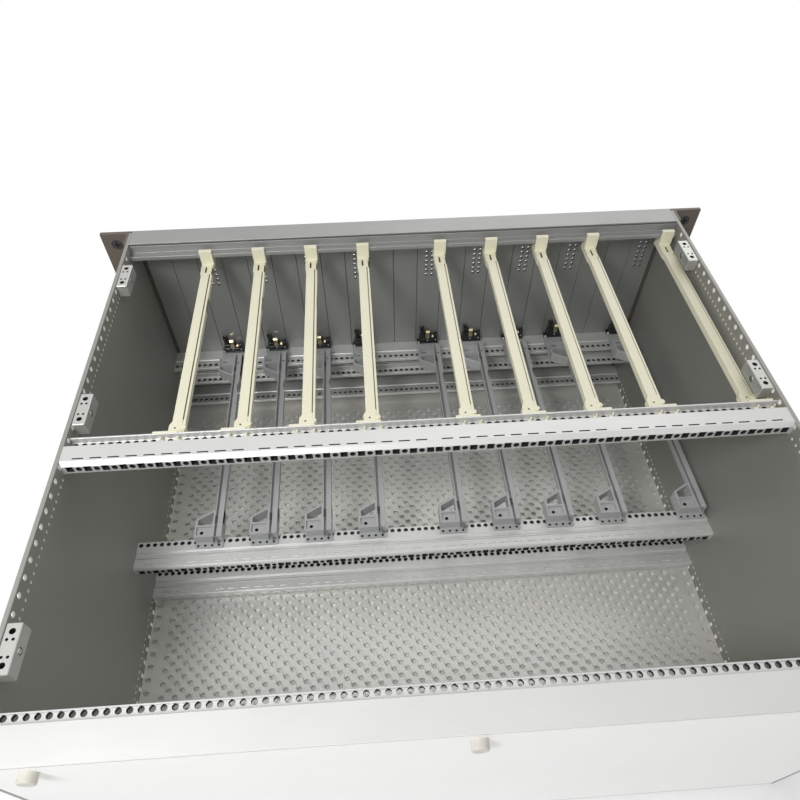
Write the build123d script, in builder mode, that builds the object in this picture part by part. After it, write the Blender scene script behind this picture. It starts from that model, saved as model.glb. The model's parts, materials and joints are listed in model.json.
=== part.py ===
from build123d import *
from math import sqrt
import os

os.makedirs("parts", exist_ok=True)

# Rack grid: one pitch is the width step of the card cage, one unit the height step.
pitch = 5.08
cage_pitches = 84
unit = 44.45
cage_units = 3
base_units = 1
height_relief = 0.8
rail_relief = 10.85

# Overall sizes. X runs across the front, Y from the front to the rear, Z up.
depth = 400.0
mid_depth = 236.5
side_gap = 2.54
ear_reach = 25.4

# Sheet and plate thicknesses.
side_wall = 2.5
front_wall = 2.5
rear_wall = 2.5
plate_wall = 1.0
ear_wall = 3.0
ear_leg_wall = 2.0

# Working clearances.
slip = 0.1
edge_gap = 0.3

# Front and rear rails: depths run inwards from the fastening face.
rail_half = 4.65
rail_body = 15.9
rail_bore_depth = 8.8
rail_bore_radius = 2.0
lip_height = 1.7
slot_opening = 3.6
slot_chamber = 5.2
slot_neck = 1.2
slot_depth = 4.2
flange_wall = 2.0
flange_reach = 7.5
flange_rim = 1.0
rim_height = 0.9
relief_width = 2.4
relief_depth = 0.8
cover_groove_drop = 1.0
cover_groove_depth = 2.0
flange_hole_depth = 3.5

# Middle rails: a body with a wide recessed flange for the guides.
mid_body = 14.1
mid_flange = 9.1
mid_flange_wall = 4.0
mid_rim_height = 2.3
mid_hole_depth = 6.3
mid_bevel = 2.6
mid_bore_depth = 10.2
mid_pocket = 4.2
mid_pocket_depth = 5.0
mid_pocket_step = 2
mid_segment_pitches = 21

# Card guides. Each number is the pitch at which a card's front panel starts.
card_slots = [0, 12, 20, 28, 36, 48, 56, 64, 72]
card_height = 100.0
card_play = 0.2
card_groove_width = 1.8
card_groove_depth = 3.0
card_groove_shift = -0.8
guide_back = 1.6
peg_radius = 1.5
peg_play = 0.15
tab_width = 9.6
tab_wall = 1.6
hook_reach = 1.8
hook_wall = 1.1

# Upper guides: sides are counted from the card slot's middle, lengths from the guide's front end.
upper_near = -4.3
upper_far = 4.1
head_side = 0.8
head_length = 20.0
head_slant = 4.0
head_slot_shift = 0.8
head_slot_width = 1.2
head_slot_from = 12.5
head_slot_to = 19.5
back_line_shift = -2.5
back_line_width = 0.5
back_line_depth = 0.5
notch_from = 13.3
notch_to = 21.5
notch_side = 0.8
rear_pad_side = 1.6
rear_pad_length = 14.7
rear_pad_slant = 3.0
rear_tab_near = -5.0
rear_tab_far = 10.2
boss_radius = 2.0
boss_height = 0.8
boss_shift = -3.4
pad_hole_radius = 0.7
pad_hole_shift = 1.7
boss_inset = 13.7

# Lower guides: a thin wall, the card groove and a wide band, with a hollow near each end.
lower_near = -5.6
lower_far = 1.0
hollow_depth = 1.6
hollow_slant = 7.0
hollow_floor = 3.0
hollow_places = [35.0, 187.0]
foot_flap = 4.6
foot_flap_wall = 1.8
foot_block = 15.0
foot_shoulder = 21.0
foot_length = 29.0
brace_wall = 1.8
foot_pitches = 4

# Card clips on the front feet. Heights are counted from the rail that the foot stands on.
clip_length = 6.0
clip_rise = 6.6
clip_post_from = 13.6
clip_post_width = 3.4
clip_post_rise = 18.8
clip_contact_from = 8.2
clip_contact_width = 3.6
clip_contact_wall = 2.0
clip_contact_rise = 15.6
clip_block_width = 4.4
clip_block_rise = 11.2

# Front panels.
panel_pitches = 4
panel_gap = 0.3
panel_relief = 4.95
vent_columns = 2
vent_rows = 6
vent_pitch_x = 4.9
vent_pitch_z = 4.3
vent_radius = 1.5
vent_drop = 26.3
panel_screw_inset = 7.45
panel_screw_radius = 1.25
panel_screw_length = 5.5
panel_screw_play = 0.15
panel_head_radius = 2.5
panel_head_height = 2.0
base_screw_columns = 4

# Ears, cover blocks and bumpers.
ear_leg = 17.0
ear_bend = 2.5
rack_slot_inset = 8.75
rack_slot_rise = 101.6
rack_slot_height = 6.8
rack_slot_length = 10.3
ear_screw_inset = 10.6
ear_screw_drop = 9.6
ear_screw_radius = 3.0
ear_head_radius = 4.3
block_length = 26.0
front_block_gap = 18.4
mid_block_gap = 8.0
rear_block_gap = 15.3
block_width = 7.6
block_depth = 9.0
block_drop = 0.8
block_hole_radius = 1.65
block_hole_inset = 4.5
bumper_radius = 4.15
bumper_reach = 5.0
bumper_edge = 0.8
bumper_count = 3
bumper_pitch = 194.0
bumper_shift = -3.0
bumper_drop = 8.9

# Bottom plate vents.
plate_vent_columns = 12
plate_vent_rows = 9
plate_vent_radius = 7.0
plate_vent_pitch_x = 34.0
plate_vent_pitch_y = 36.0

# Countersunk screws that hold the rails and the cover blocks.
rail_screw_radius = 1.9
rail_screw_head = 3.8
rail_screw_length = 12.0

# Places and sizes that follow.
height = (cage_units + base_units) * unit - height_relief
inner_width = cage_pitches * pitch + 2 * side_gap
ear_span = inner_width + 2 * ear_reach
rack_slot_pitch = ear_span - 2 * rack_slot_inset
half_width = inner_width / 2
outer_half = half_width + side_wall
half_cage = cage_pitches * pitch / 2
front_face = -(panel_head_height + depth + bumper_reach) / 2 + panel_head_height
rear_face = front_face + depth
front_seat = front_face + front_wall
rear_seat = rear_face - rear_wall
mid_seat = front_face + mid_depth
side_front = front_face + ear_wall
rail_rise = (cage_units + base_units) * unit - rail_relief
top_z = (height + rail_rise) / 2
base_z = (height - rail_rise) / 2
cage_z = top_z - cage_units * unit + rail_relief
divider_z = base_z + base_units * unit - rail_relief
lipped_outer = height - top_z
card_mid_z = (top_z + cage_z) / 2
upper_groove_z = card_mid_z + card_height / 2 + card_play
lower_groove_z = card_mid_z - card_height / 2 - card_play
flange_end = rail_body + flange_reach
flange_top = flange_wall - rail_half
rim_top = flange_top + rim_height
mid_flange_end = mid_body + mid_flange
mid_flange_top = mid_flange_wall - rail_half
mid_rim_top = mid_flange_top + mid_rim_height
plate_low = cover_groove_drop + slip
plate_top = plate_low + plate_wall
guide_front = front_seat + rail_body + edge_gap
guide_rear = mid_seat - mid_body - edge_gap
front_peg_y = front_seat + rail_body + flange_hole_depth
rear_peg_y = mid_seat - mid_body - mid_hole_depth
hole_radius = peg_radius + peg_play


block_places = [
    front_wall + flange_end + front_block_gap + block_length / 2,
    mid_depth - mid_flange_end - mid_block_gap - block_length / 2,
    depth - rear_wall - flange_end - rear_block_gap - block_length / 2,
]


def slot_x(slot):
    """Middle of the card slot for a card that starts at this pitch."""
    return -half_cage + (slot + 1) * pitch


def rail_section(outer, lipped):
    """Outline of a front or rear rail as (inwards, outwards) pairs."""
    groove_high = outer - cover_groove_drop
    groove_low = groove_high - plate_wall - 2 * slip
    relief_far = rail_body - relief_depth
    relief_near = relief_far - relief_width
    outline = [
        (0, -rail_half),
        (relief_near - relief_depth, -rail_half),
        (relief_near, relief_depth - rail_half),
        (relief_far, relief_depth - rail_half),
        (rail_body, -rail_half),
        (flange_end, -rail_half),
        (flange_end, rim_top),
        (flange_end - flange_rim, rim_top),
        (flange_end - flange_rim, flange_top),
        (rail_body, flange_top),
        (rail_body, groove_low),
        (rail_body - cover_groove_depth, groove_low),
        (rail_body - cover_groove_depth, groove_high),
        (rail_body, groove_high),
        (rail_body, outer),
    ]
    if lipped:
        outline += [(-front_wall, outer), (-front_wall, outer - lip_height), (0, outer - lip_height)]
    else:
        outline += [(0, outer)]
    outline += [
        (0, slot_opening / 2),
        (slot_neck, slot_opening / 2),
        (slot_neck, slot_chamber / 2),
        (slot_depth, slot_chamber / 2),
        (slot_depth, -slot_chamber / 2),
        (slot_neck, -slot_chamber / 2),
        (slot_neck, -slot_opening / 2),
        (0, -slot_opening / 2),
    ]
    return outline


def mid_section(outer):
    """Outline of a middle rail as (inwards, outwards) pairs."""
    relief_far = mid_body - relief_depth
    relief_near = relief_far - relief_width
    return [
        (0, mid_bevel / 2 - rail_half),
        (mid_bevel / 2, -rail_half),
        (relief_near - relief_depth, -rail_half),
        (relief_near, relief_depth - rail_half),
        (relief_far, relief_depth - rail_half),
        (mid_body, -rail_half),
        (mid_flange_end, -rail_half),
        (mid_flange_end, mid_rim_top),
        (mid_flange_end - flange_rim, mid_rim_top),
        (mid_flange_end - flange_rim, mid_flange_top),
        (mid_body, mid_flange_top),
        (mid_body, outer),
        (mid_bevel, outer),
        (0, outer - mid_bevel),
    ]


def front_or_rear_rail(label, outline, seat, inwards, middle, outwards, pegs=()):
    """A front or rear rail with its end bore and, where guides plug in, their peg holes."""
    return extruded_rail(
        label, outline, seat, inwards, middle, outwards, rail_bore_depth, pegs, flange_wall, []
    )


def middle_rail(label, outline, middle, outwards, pegs=(), pocket_xs=()):
    """A middle rail with its end bore, its peg holes and the pockets in its rear face."""
    return extruded_rail(
        label, outline, mid_seat, -1, middle, outwards, mid_bore_depth, pegs, mid_flange_wall, pocket_xs
    )


def extruded_rail(label, outline, seat, inwards, middle, outwards, bore, pegs, through, pocket_xs):
    """A rail right across the cage, with a round bore through its length, peg holes and pockets."""
    with BuildPart() as rail:
        with BuildSketch(Plane.YZ.offset(-half_width)):
            with BuildLine():
                Polyline([(seat + inwards * d, middle + outwards * h) for d, h in outline], close=True)
            make_face()
            with Locations((seat + inwards * bore, middle)):
                Circle(rail_bore_radius, mode=Mode.SUBTRACT)
        extrude(amount=inner_width)
        if pegs:
            with BuildSketch(Plane.XY.offset(middle - outwards * rail_half)):
                with Locations(*pegs):
                    Circle(hole_radius)
            extrude(amount=outwards * through, mode=Mode.SUBTRACT)
        if pocket_xs:
            with BuildSketch(Plane.XZ.offset(-seat)):
                with Locations(*[(x, middle) for x in pocket_xs]):
                    Rectangle(mid_pocket, mid_pocket)
            extrude(amount=mid_pocket_depth, mode=Mode.SUBTRACT)
    rail.part.label = label
    return rail.part


# Rails. The middle ones repeat a segment of pitches, with a pocket at every other pitch.
pocket_xs = [
    (start + place + 0.5) * pitch - half_cage
    for start in range(0, cage_pitches, mid_segment_pitches)
    for place in range(0, mid_segment_pitches, mid_pocket_step)
]
lipped = rail_section(lipped_outer, True)
plain = rail_section(rail_half, False)
mid_full = mid_section(rail_half)
mid_low = mid_section(base_z - plate_top)
front_pegs = [(slot_x(slot), front_peg_y) for slot in card_slots]
rear_pegs = [(slot_x(slot), rear_peg_y) for slot in card_slots]
rear_pairs = [(slot_x(slot) + side * pitch, rear_peg_y) for slot in card_slots for side in (-1, 1)]
rails = [
    front_or_rear_rail("front_rail_top", lipped, front_seat, 1, top_z, 1, front_pegs),
    front_or_rear_rail("front_rail_cage", plain, front_seat, 1, cage_z, -1, front_pegs),
    front_or_rear_rail("front_rail_divider", plain, front_seat, 1, divider_z, 1),
    front_or_rear_rail("front_rail_base", lipped, front_seat, 1, base_z, -1),
    front_or_rear_rail("rear_rail_top", lipped, rear_seat, -1, top_z, 1),
    front_or_rear_rail("rear_rail_base", lipped, rear_seat, -1, base_z, -1),
    middle_rail("mid_rail_top", mid_full, top_z, 1, rear_pairs, pocket_xs),
    middle_rail("mid_rail_cage", mid_full, cage_z, -1, rear_pegs, pocket_xs),
    middle_rail("mid_rail_base", mid_low, base_z, -1),
]
for rail in rails:
    export_step(rail, f"parts/{rail.label}.step")

# Places of the rail ends, as (distance from the front, height), by what their screws pass through.
front_bore_y = front_seat + rail_bore_depth
rear_bore_y = rear_seat - rail_bore_depth
mid_bore_y = mid_seat - mid_bore_depth
ear_fixings = [(front_bore_y, z) for z in (base_z, divider_z, cage_z, top_z)]
wall_fixings = [(rear_bore_y, z) for z in (base_z, top_z)]
wall_fixings += [(mid_bore_y, z) for z in (base_z, cage_z, top_z)]
block_z = height - block_drop - block_depth / 2
block_fixings = [(front_face + place, block_z) for place in block_places]


def side_panel(label, side):
    """A flat side plate, drilled for the ear and countersunk for the other rails."""
    with BuildPart() as panel:
        with BuildSketch(Plane.YZ.offset(side * half_width)):
            with Locations(((side_front + rear_face) / 2, height / 2)):
                Rectangle(rear_face - side_front, height)
            with Locations(*ear_fixings):
                Circle(rail_screw_radius + slip, mode=Mode.SUBTRACT)
        extrude(amount=side * side_wall)
        fixings = wall_fixings + block_fixings
        faces = [Plane((side * outer_half, y, z), z_dir=(side, 0, 0)) for y, z in fixings]
        with Locations(*faces):
            CounterSinkHole(rail_screw_radius + slip, rail_screw_head + slip, side_wall)
    panel.part.label = label
    return panel.part


def ear(label, side):
    """A rack ear: a flange with its rack slots and a strip beside the panels, and a leg along the side."""
    flange_width = ear_span / 2 - half_width
    strip_width = side_gap - panel_gap
    slot_side = side * rack_slot_pitch / 2
    screw_side = side * (ear_span / 2 - ear_screw_inset)
    with BuildPart() as bracket:
        with BuildSketch(Plane.XZ.offset(-front_face)):
            with Locations((side * (half_width + flange_width / 2), height / 2)):
                Rectangle(flange_width, height)
            with Locations((slot_side, (height - rack_slot_rise) / 2), (slot_side, (height + rack_slot_rise) / 2)):
                SlotOverall(rack_slot_length, rack_slot_height, mode=Mode.SUBTRACT)
        extrude(amount=-ear_wall)
        with BuildSketch(Plane.XZ.offset(-front_face)):
            with Locations((side * (half_width - strip_width / 2), height / 2)):
                Rectangle(strip_width, height - 2 * (lip_height + edge_gap))
        extrude(amount=-front_wall)
        with BuildSketch(Plane.YZ.offset(side * outer_half)):
            with Locations((side_front + (ear_leg - ear_wall) / 2, height / 2)):
                Rectangle(ear_leg - ear_wall, height)
        extrude(amount=side * ear_leg_wall)
        bend = Vector(side * (outer_half + ear_leg_wall), side_front, height / 2)
        fillet(bracket.edges().filter_by(Axis.Z).sort_by_distance(bend)[0], ear_bend)
        faces = [Plane((side * (outer_half + ear_leg_wall), y, z), z_dir=(side, 0, 0)) for y, z in ear_fixings]
        with Locations(*faces):
            CounterSinkHole(rail_screw_radius + slip, rail_screw_head + slip, ear_leg_wall)
        corners = [(screw_side, side_front, z) for z in (ear_screw_drop, height - ear_screw_drop)]
        with Locations(*[Plane(place, z_dir=(0, 1, 0)) for place in corners]):
            CounterSinkHole(ear_screw_radius + slip, ear_head_radius + slip, ear_wall)
    bracket.part.label = label
    return bracket.part


for name, side in (("right", 1), ("left", -1)):
    export_step(side_panel(f"side_panel_{name}", side), f"parts/side_panel_{name}.step")
    export_step(ear(f"rack_ear_{name}", side), f"parts/rack_ear_{name}.step")

# Countersunk screws, each with its axis pointing out of the wall that it holds
down = (Align.CENTER, Align.CENTER, Align.MAX)


def countersunk(planes, radius, head_radius, length):
    """Countersunk screws with their heads flush with the planes."""
    with BuildPart() as screws:
        with Locations(*planes):
            Cone(radius, head_radius, head_radius - radius, align=down)
            Cylinder(radius, length, align=down)
    return screws.part


with BuildPart() as rail_screws:
    for side in (1, -1):
        for fixings, reach, length in (
            (ear_fixings, outer_half + ear_leg_wall, rail_screw_length),
            (wall_fixings, outer_half, rail_screw_length),
            (block_fixings, outer_half, side_wall + block_width),
        ):
            seats = [Plane((side * reach, y, z), z_dir=(side, 0, 0)) for y, z in fixings]
            add(countersunk(seats, rail_screw_radius, rail_screw_head, length))
rail_screws.part.label = "rail_screws"
export_step(rail_screws.part, "parts/rail_screws.step")

with BuildPart() as ear_screws:
    for side in (1, -1):
        x = side * (ear_span / 2 - ear_screw_inset)
        corners = [(x, side_front, z) for z in (ear_screw_drop, height - ear_screw_drop)]
        seats = [Plane(place, z_dir=(0, 1, 0)) for place in corners]
        add(countersunk(seats, ear_screw_radius, ear_head_radius, ear_wall))
ear_screws.part.label = "ear_screws"
export_step(ear_screws.part, "parts/ear_screws.step")

# Bottom plate, which lies in the grooves of the front and rear base rails
groove_y = rail_body - cover_groove_depth + edge_gap
plate_front = front_seat + groove_y
plate_rear = rear_seat - groove_y
with BuildPart() as bottom_plate:
    with BuildSketch(Plane.XY.offset(plate_low)):
        with Locations((0, (plate_front + plate_rear) / 2)):
            Rectangle(inner_width - 2 * edge_gap, plate_rear - plate_front)
            with GridLocations(plate_vent_pitch_x, plate_vent_pitch_y, plate_vent_columns, plate_vent_rows):
                RegularPolygon(plate_vent_radius, 6, mode=Mode.SUBTRACT)
    extrude(amount=plate_wall)
bottom_plate.part.label = "bottom_plate"
export_step(bottom_plate.part, "parts/bottom_plate.step")

# Rear panel between the lips of the rear rails, with its bumpers
rear_low = lip_height + edge_gap
with BuildPart() as rear_panel:
    with BuildSketch(Plane.XZ.offset(-rear_seat)):
        with Locations((0, height / 2)):
            Rectangle(inner_width - 2 * edge_gap, height - 2 * rear_low)
    extrude(amount=-rear_wall)
rear_panel.part.label = "rear_panel"
export_step(rear_panel.part, "parts/rear_panel.step")

with BuildPart() as rear_bumpers:
    with BuildSketch(Plane.XZ.offset(-rear_face)):
        with Locations((bumper_shift, height - bumper_drop)):
            with GridLocations(bumper_pitch, 1, bumper_count, 1):
                Circle(bumper_radius)
    extrude(amount=-bumper_reach)
    chamfer(rear_bumpers.faces().group_by(Axis.Y)[-1].edges(), bumper_edge)
rear_bumpers.part.label = "rear_bumpers"
export_step(rear_bumpers.part, "parts/rear_bumpers.step")

# Front panels of the card cage, vented where a card slot starts
panel_height = cage_units * unit - panel_relief
panel_low = card_mid_z - panel_height / 2
panel_high = card_mid_z + panel_height / 2
panel_starts = range(0, cage_pitches, panel_pitches)
screw_radius = panel_screw_radius + panel_screw_play


def front_panel(label, start, vented):
    """A front panel with two screw holes and, over a card, two columns of vents."""
    left = start * pitch - half_cage
    middle = left + panel_pitches * pitch / 2
    vent_middle = panel_high - vent_drop - (vent_rows - 1) * vent_pitch_z / 2
    with BuildPart() as panel:
        with BuildSketch(Plane.XZ.offset(-front_face)):
            with Locations((middle, card_mid_z)):
                Rectangle(panel_pitches * pitch - panel_gap, panel_height)
            with Locations((left + panel_screw_inset, top_z), (left + panel_screw_inset, cage_z)):
                Circle(screw_radius, mode=Mode.SUBTRACT)
            if vented:
                with Locations((middle, vent_middle)):
                    with GridLocations(vent_pitch_x, vent_pitch_z, vent_columns, vent_rows):
                        RegularPolygon(vent_radius, 6, mode=Mode.SUBTRACT)
        extrude(amount=-front_wall)
    panel.part.label = label
    return panel.part


for start in panel_starts:
    kind = "vented" if start in card_slots else "plain"
    name = f"{kind}_panel_{start // panel_pitches + 1:02d}"
    export_step(front_panel(name, start, kind == "vented"), f"parts/{name}.step")

# Blank panel in front of the air space under the cage
base_low = lip_height + edge_gap
base_high = panel_low - edge_gap
base_columns = [
    (column + 0.5) * cage_pitches * pitch / base_screw_columns - half_cage for column in range(base_screw_columns)
]
base_screw_places = [(x, z) for x in base_columns for z in (base_z, divider_z)]
with BuildPart() as base_panel:
    with BuildSketch(Plane.XZ.offset(-front_face)):
        with Locations((0, (base_low + base_high) / 2)):
            Rectangle(cage_pitches * pitch, base_high - base_low)
        with Locations(*base_screw_places):
            Circle(screw_radius, mode=Mode.SUBTRACT)
    extrude(amount=-front_wall)
base_panel.part.label = "base_panel"
export_step(base_panel.part, "parts/base_panel.step")

# Panel screws
panel_screw_places = [
    (start * pitch - half_cage + panel_screw_inset, z) for start in panel_starts for z in (top_z, cage_z)
]
with BuildPart() as panel_screws:
    with BuildSketch(Plane.XZ.offset(-front_face)):
        with Locations(*panel_screw_places, *base_screw_places):
            Circle(panel_head_radius)
    extrude(amount=panel_head_height)
    with BuildSketch(Plane.XZ.offset(-front_face)):
        with Locations(*panel_screw_places, *base_screw_places):
            Circle(panel_screw_radius)
    extrude(amount=-panel_screw_length)
panel_screws.part.label = "panel_screws"
export_step(panel_screws.part, "parts/panel_screws.step")

# Cover blocks along the top of the side panels
with BuildPart() as cover_blocks:
    for side in (1, -1):
        middle_x = side * (half_width - block_width / 2)
        for place in block_places:
            with BuildSketch(Plane.XY.offset(height - block_drop)):
                with Locations((middle_x, front_face + place)):
                    Rectangle(block_width, block_length)
                    with GridLocations(1, block_length - 2 * block_hole_inset, 1, 2):
                        Circle(block_hole_radius, mode=Mode.SUBTRACT)
            extrude(amount=-block_depth)
            with BuildSketch(Plane.YZ.offset(side * (half_width - block_width))):
                with Locations((front_face + place, block_z)):
                    Circle(rail_screw_radius + slip)
            extrude(amount=side * block_width, mode=Mode.SUBTRACT)
cover_blocks.part.label = "cover_blocks"
export_step(cover_blocks.part, "parts/cover_blocks.step")


def bar_section(near, far, groove, legs, back):
    """Section of a guide's bar between its two sides, with the card groove between its legs."""
    out = 1 if back > legs else -1
    with BuildSketch(Plane.XZ.offset(-guide_front)) as section:
        with Locations(((near + far) / 2, (back + legs) / 2)):
            Rectangle(far - near, abs(back - legs))
        with Locations((groove, legs + out * card_groove_depth / 2)):
            Rectangle(card_groove_width, card_groove_depth, mode=Mode.SUBTRACT)
    return section.sketch


def plan(z, near, far, from_y, to_y):
    """A rectangle that lies flat at a height, between two sides and two distances along Y."""
    with BuildSketch(Plane.XY.offset(z)) as outline:
        with Locations(((near + far) / 2, (from_y + to_y) / 2)):
            Rectangle(far - near, abs(to_y - from_y))
    return outline.sketch


def slanted_plan(z, near, far, from_y, to_y, slant):
    """A strip that lies flat at a height and narrows to its near side over its last stretch."""
    with BuildSketch(Plane.XY.offset(z)) as outline:
        Polygon((near, from_y), (far, from_y), (far, to_y - slant), (near, to_y), align=None)
    return outline.sketch


def round_plan(z, radius, *places):
    """Circles that lie flat at a height."""
    with BuildSketch(Plane.XY.offset(z)) as outline:
        with Locations(*places):
            Circle(radius)
    return outline.sketch


def upper_guide(label, slot):
    """A guide that hangs from the top rails by its pegs and hooks over the front flange."""
    x = slot_x(slot)
    near = x + upper_near
    far = x + upper_far
    legs = upper_groove_z - card_groove_depth
    back = upper_groove_z + guide_back
    rise = back - legs
    seat = top_z - rail_half
    hook = top_z + rim_top + slip
    tab_near = front_seat + flange_end + slip
    tab_far = tab_near + tab_wall
    tab_left = x - tab_width / 2
    tab_right = x + tab_width / 2
    pad_near = mid_seat - mid_flange_end - slip
    pad_front = pad_near - tab_wall - rear_pad_length
    line = x + back_line_shift
    slot_left = x + head_slot_shift - head_slot_width / 2
    slot_from = guide_front + head_slot_from
    boss = (x + boss_shift, pad_near - boss_inset)
    pad_hole = (x + pad_hole_shift, pad_near - boss_inset)
    block_half = pitch + peg_radius + slip
    with BuildPart() as guide:
        extrude(bar_section(near, far, x + card_groove_shift, legs, back), amount=guide_front - guide_rear)
        head_end = guide_front + head_length + head_slant
        extrude(slanted_plan(legs, far, far + head_side, guide_front, head_end, head_slant), amount=rise)
        slot_plan = plan(back, slot_left, slot_left + head_slot_width, slot_from, guide_front + head_slot_to)
        extrude(slot_plan, amount=-guide_back, mode=Mode.SUBTRACT)
        notch = plan(legs, near, near + notch_side, guide_front + notch_from, guide_front + notch_to)
        extrude(notch, amount=rise, mode=Mode.SUBTRACT)
        line_plan = plan(back, line, line + back_line_width, guide_front + notch_to, pad_front)
        extrude(line_plan, amount=-back_line_depth, mode=Mode.SUBTRACT)
        extrude(plan(back, tab_left, tab_right, guide_front, tab_near), amount=seat - back)
        extrude(plan(back, tab_left, tab_right, tab_near, tab_far), amount=hook - back)
        extrude(plan(hook, tab_left, tab_right, tab_near - hook_reach, tab_far), amount=hook_wall)
        pad_end = pad_front - rear_pad_slant
        extrude(slanted_plan(legs, far, far + rear_pad_side, pad_near, pad_end, -rear_pad_slant), amount=rise)
        extrude(round_plan(legs, boss_radius, boss), amount=rise + boss_height)
        extrude(round_plan(back, pad_hole_radius, pad_hole), amount=-guide_back, mode=Mode.SUBTRACT)
        extrude(plan(back, x - block_half, x + block_half, pad_near, guide_rear), amount=seat - back)
        tab = plan(back - guide_back, x + rear_tab_near, x + rear_tab_far, pad_near - tab_wall, pad_near)
        extrude(tab, amount=top_z + mid_rim_top - back + guide_back)
        extrude(round_plan(seat, peg_radius, (x, front_peg_y)), amount=flange_wall)
        pegs = round_plan(seat, peg_radius, (x - pitch, rear_peg_y), (x + pitch, rear_peg_y))
        extrude(pegs, amount=mid_flange_wall)
    guide.part.label = label
    return guide.part


def foot_plan(z, near, inner, end, inwards):
    """Plan of a guide's foot: a block over the flange, and a slanted brace around a window."""
    far = near + foot_pitches * pitch
    shoulder = end + inwards * foot_shoulder
    tip = end + inwards * foot_length
    slope = (tip - shoulder) / (far - inner)
    brace_drop = inwards * brace_wall * sqrt(1 + slope**2)
    window_near = inner + brace_wall / 2
    window_far = far - brace_wall
    window_low = end + inwards * foot_block
    block = [(near, end), (far, end), (far, shoulder), (inner, tip), (near, tip)]
    window = [
        (window_near, window_low),
        (window_far, window_low),
        (window_far, tip - slope * (window_far - inner) - brace_drop),
        (window_near, tip - slope * (window_near - inner) - brace_drop),
    ]
    with BuildSketch(Plane.XY.offset(z)) as outline:
        Polygon(*block, align=None)
        Polygon(*window, align=None, mode=Mode.SUBTRACT)
    return outline.sketch


def hollow_plan(z, side, place):
    """Plan of the shallow hollow in a bar's side, with a slant at each end."""
    start = guide_front + place
    bottom = side + hollow_depth
    floor_from = start + hollow_slant
    floor_to = floor_from + hollow_floor
    with BuildSketch(Plane.XY.offset(z)) as outline:
        Polygon((side, start), (bottom, floor_from), (bottom, floor_to), (side, floor_to + hollow_slant), align=None)
    return outline.sketch


def lower_guide(label, slot):
    """A guide that stands on the cage rails, with a braced foot at each end and its card clip."""
    x = slot_x(slot)
    near = x + lower_near
    far = x + lower_far
    groove = x + card_groove_shift
    legs = lower_groove_z + card_groove_depth
    back = lower_groove_z - guide_back
    seat = cage_z + rail_half
    foot_far = near + foot_pitches * pitch
    flap_top = seat + foot_flap_wall
    clip_front = front_seat + edge_gap
    clip_rear = clip_front + clip_length
    groove_near = groove - card_groove_width / 2
    with BuildPart() as guide:
        extrude(bar_section(near, far, groove, legs, back), amount=guide_front - guide_rear)
        for end, inwards in ((guide_front, 1), (guide_rear, -1)):
            extrude(foot_plan(seat, near, far, end, inwards), amount=legs - seat)
            flap = plan(flap_top, far, foot_far, end, end + inwards * foot_flap)
            extrude(flap, amount=legs - flap_top, mode=Mode.SUBTRACT)
        slit = plan(lower_groove_z, groove_near, groove_near + card_groove_width, guide_front, guide_rear)
        extrude(slit, amount=legs, mode=Mode.SUBTRACT)
        for place in hollow_places:
            extrude(hollow_plan(back, near, place), amount=legs - back, mode=Mode.SUBTRACT)
        extrude(plan(seat, near, foot_far, clip_front, guide_front), amount=foot_flap_wall)
        extrude(plan(seat, near, foot_far, clip_front, clip_rear), amount=clip_rise)
        extrude(plan(seat, near, near + clip_block_width, clip_front, clip_rear), amount=clip_block_rise)
        post = near + clip_post_from
        extrude(plan(seat, post, post + clip_post_width, clip_front, clip_rear), amount=clip_post_rise)
        contact = near + clip_contact_from
        contact_far = contact + clip_contact_width
        contact_plan = plan(seat, contact, contact_far, clip_rear - clip_contact_wall, clip_rear)
        extrude(contact_plan, amount=clip_contact_rise)
        extrude(round_plan(seat, peg_radius, (x, front_peg_y)), amount=-flange_wall)
        extrude(round_plan(seat, peg_radius, (x, rear_peg_y)), amount=-mid_flange_wall)
    guide.part.label = label
    return guide.part


for number, slot in enumerate(card_slots, start=1):
    export_step(upper_guide(f"upper_guide_{number}", slot), f"parts/upper_guide_{number}.step")
    export_step(lower_guide(f"lower_guide_{number}", slot), f"parts/lower_guide_{number}.step")
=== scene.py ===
"""Looks of an open rack-mounted card cage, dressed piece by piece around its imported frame.

Lengths inside the classes are millimetres in the frame's axes: X across the front, Y from the front
panels to the rear, Z up. They become metres only where a mesh is written.
"""

import json
import logging
import math
from dataclasses import dataclass, field
from enum import Enum
from functools import lru_cache
from typing import Optional, Sequence

import bmesh
import bpy
import numpy as np
from mathutils import Matrix, Vector

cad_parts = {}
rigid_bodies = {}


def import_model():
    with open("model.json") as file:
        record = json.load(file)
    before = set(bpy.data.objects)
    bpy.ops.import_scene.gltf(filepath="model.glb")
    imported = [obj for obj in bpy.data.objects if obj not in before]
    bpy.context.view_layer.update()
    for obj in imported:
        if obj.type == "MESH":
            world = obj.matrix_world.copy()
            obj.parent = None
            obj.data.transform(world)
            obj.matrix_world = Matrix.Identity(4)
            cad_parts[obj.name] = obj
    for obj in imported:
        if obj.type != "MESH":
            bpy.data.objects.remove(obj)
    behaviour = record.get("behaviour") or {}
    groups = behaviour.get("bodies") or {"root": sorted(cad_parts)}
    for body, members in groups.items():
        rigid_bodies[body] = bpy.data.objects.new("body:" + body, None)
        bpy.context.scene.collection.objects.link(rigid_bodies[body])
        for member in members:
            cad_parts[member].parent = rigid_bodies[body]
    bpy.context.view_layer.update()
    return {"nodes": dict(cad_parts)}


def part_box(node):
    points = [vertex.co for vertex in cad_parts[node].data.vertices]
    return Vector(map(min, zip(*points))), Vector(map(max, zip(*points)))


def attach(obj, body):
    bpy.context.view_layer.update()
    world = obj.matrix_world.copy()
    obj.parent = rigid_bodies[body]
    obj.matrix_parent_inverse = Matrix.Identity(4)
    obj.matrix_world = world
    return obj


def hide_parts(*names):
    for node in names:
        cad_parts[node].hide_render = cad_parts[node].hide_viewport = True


MM = 0.001
BODY = "root"
CLEARANCE = 0.3

Flat = np.ndarray
Points = np.ndarray

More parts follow.
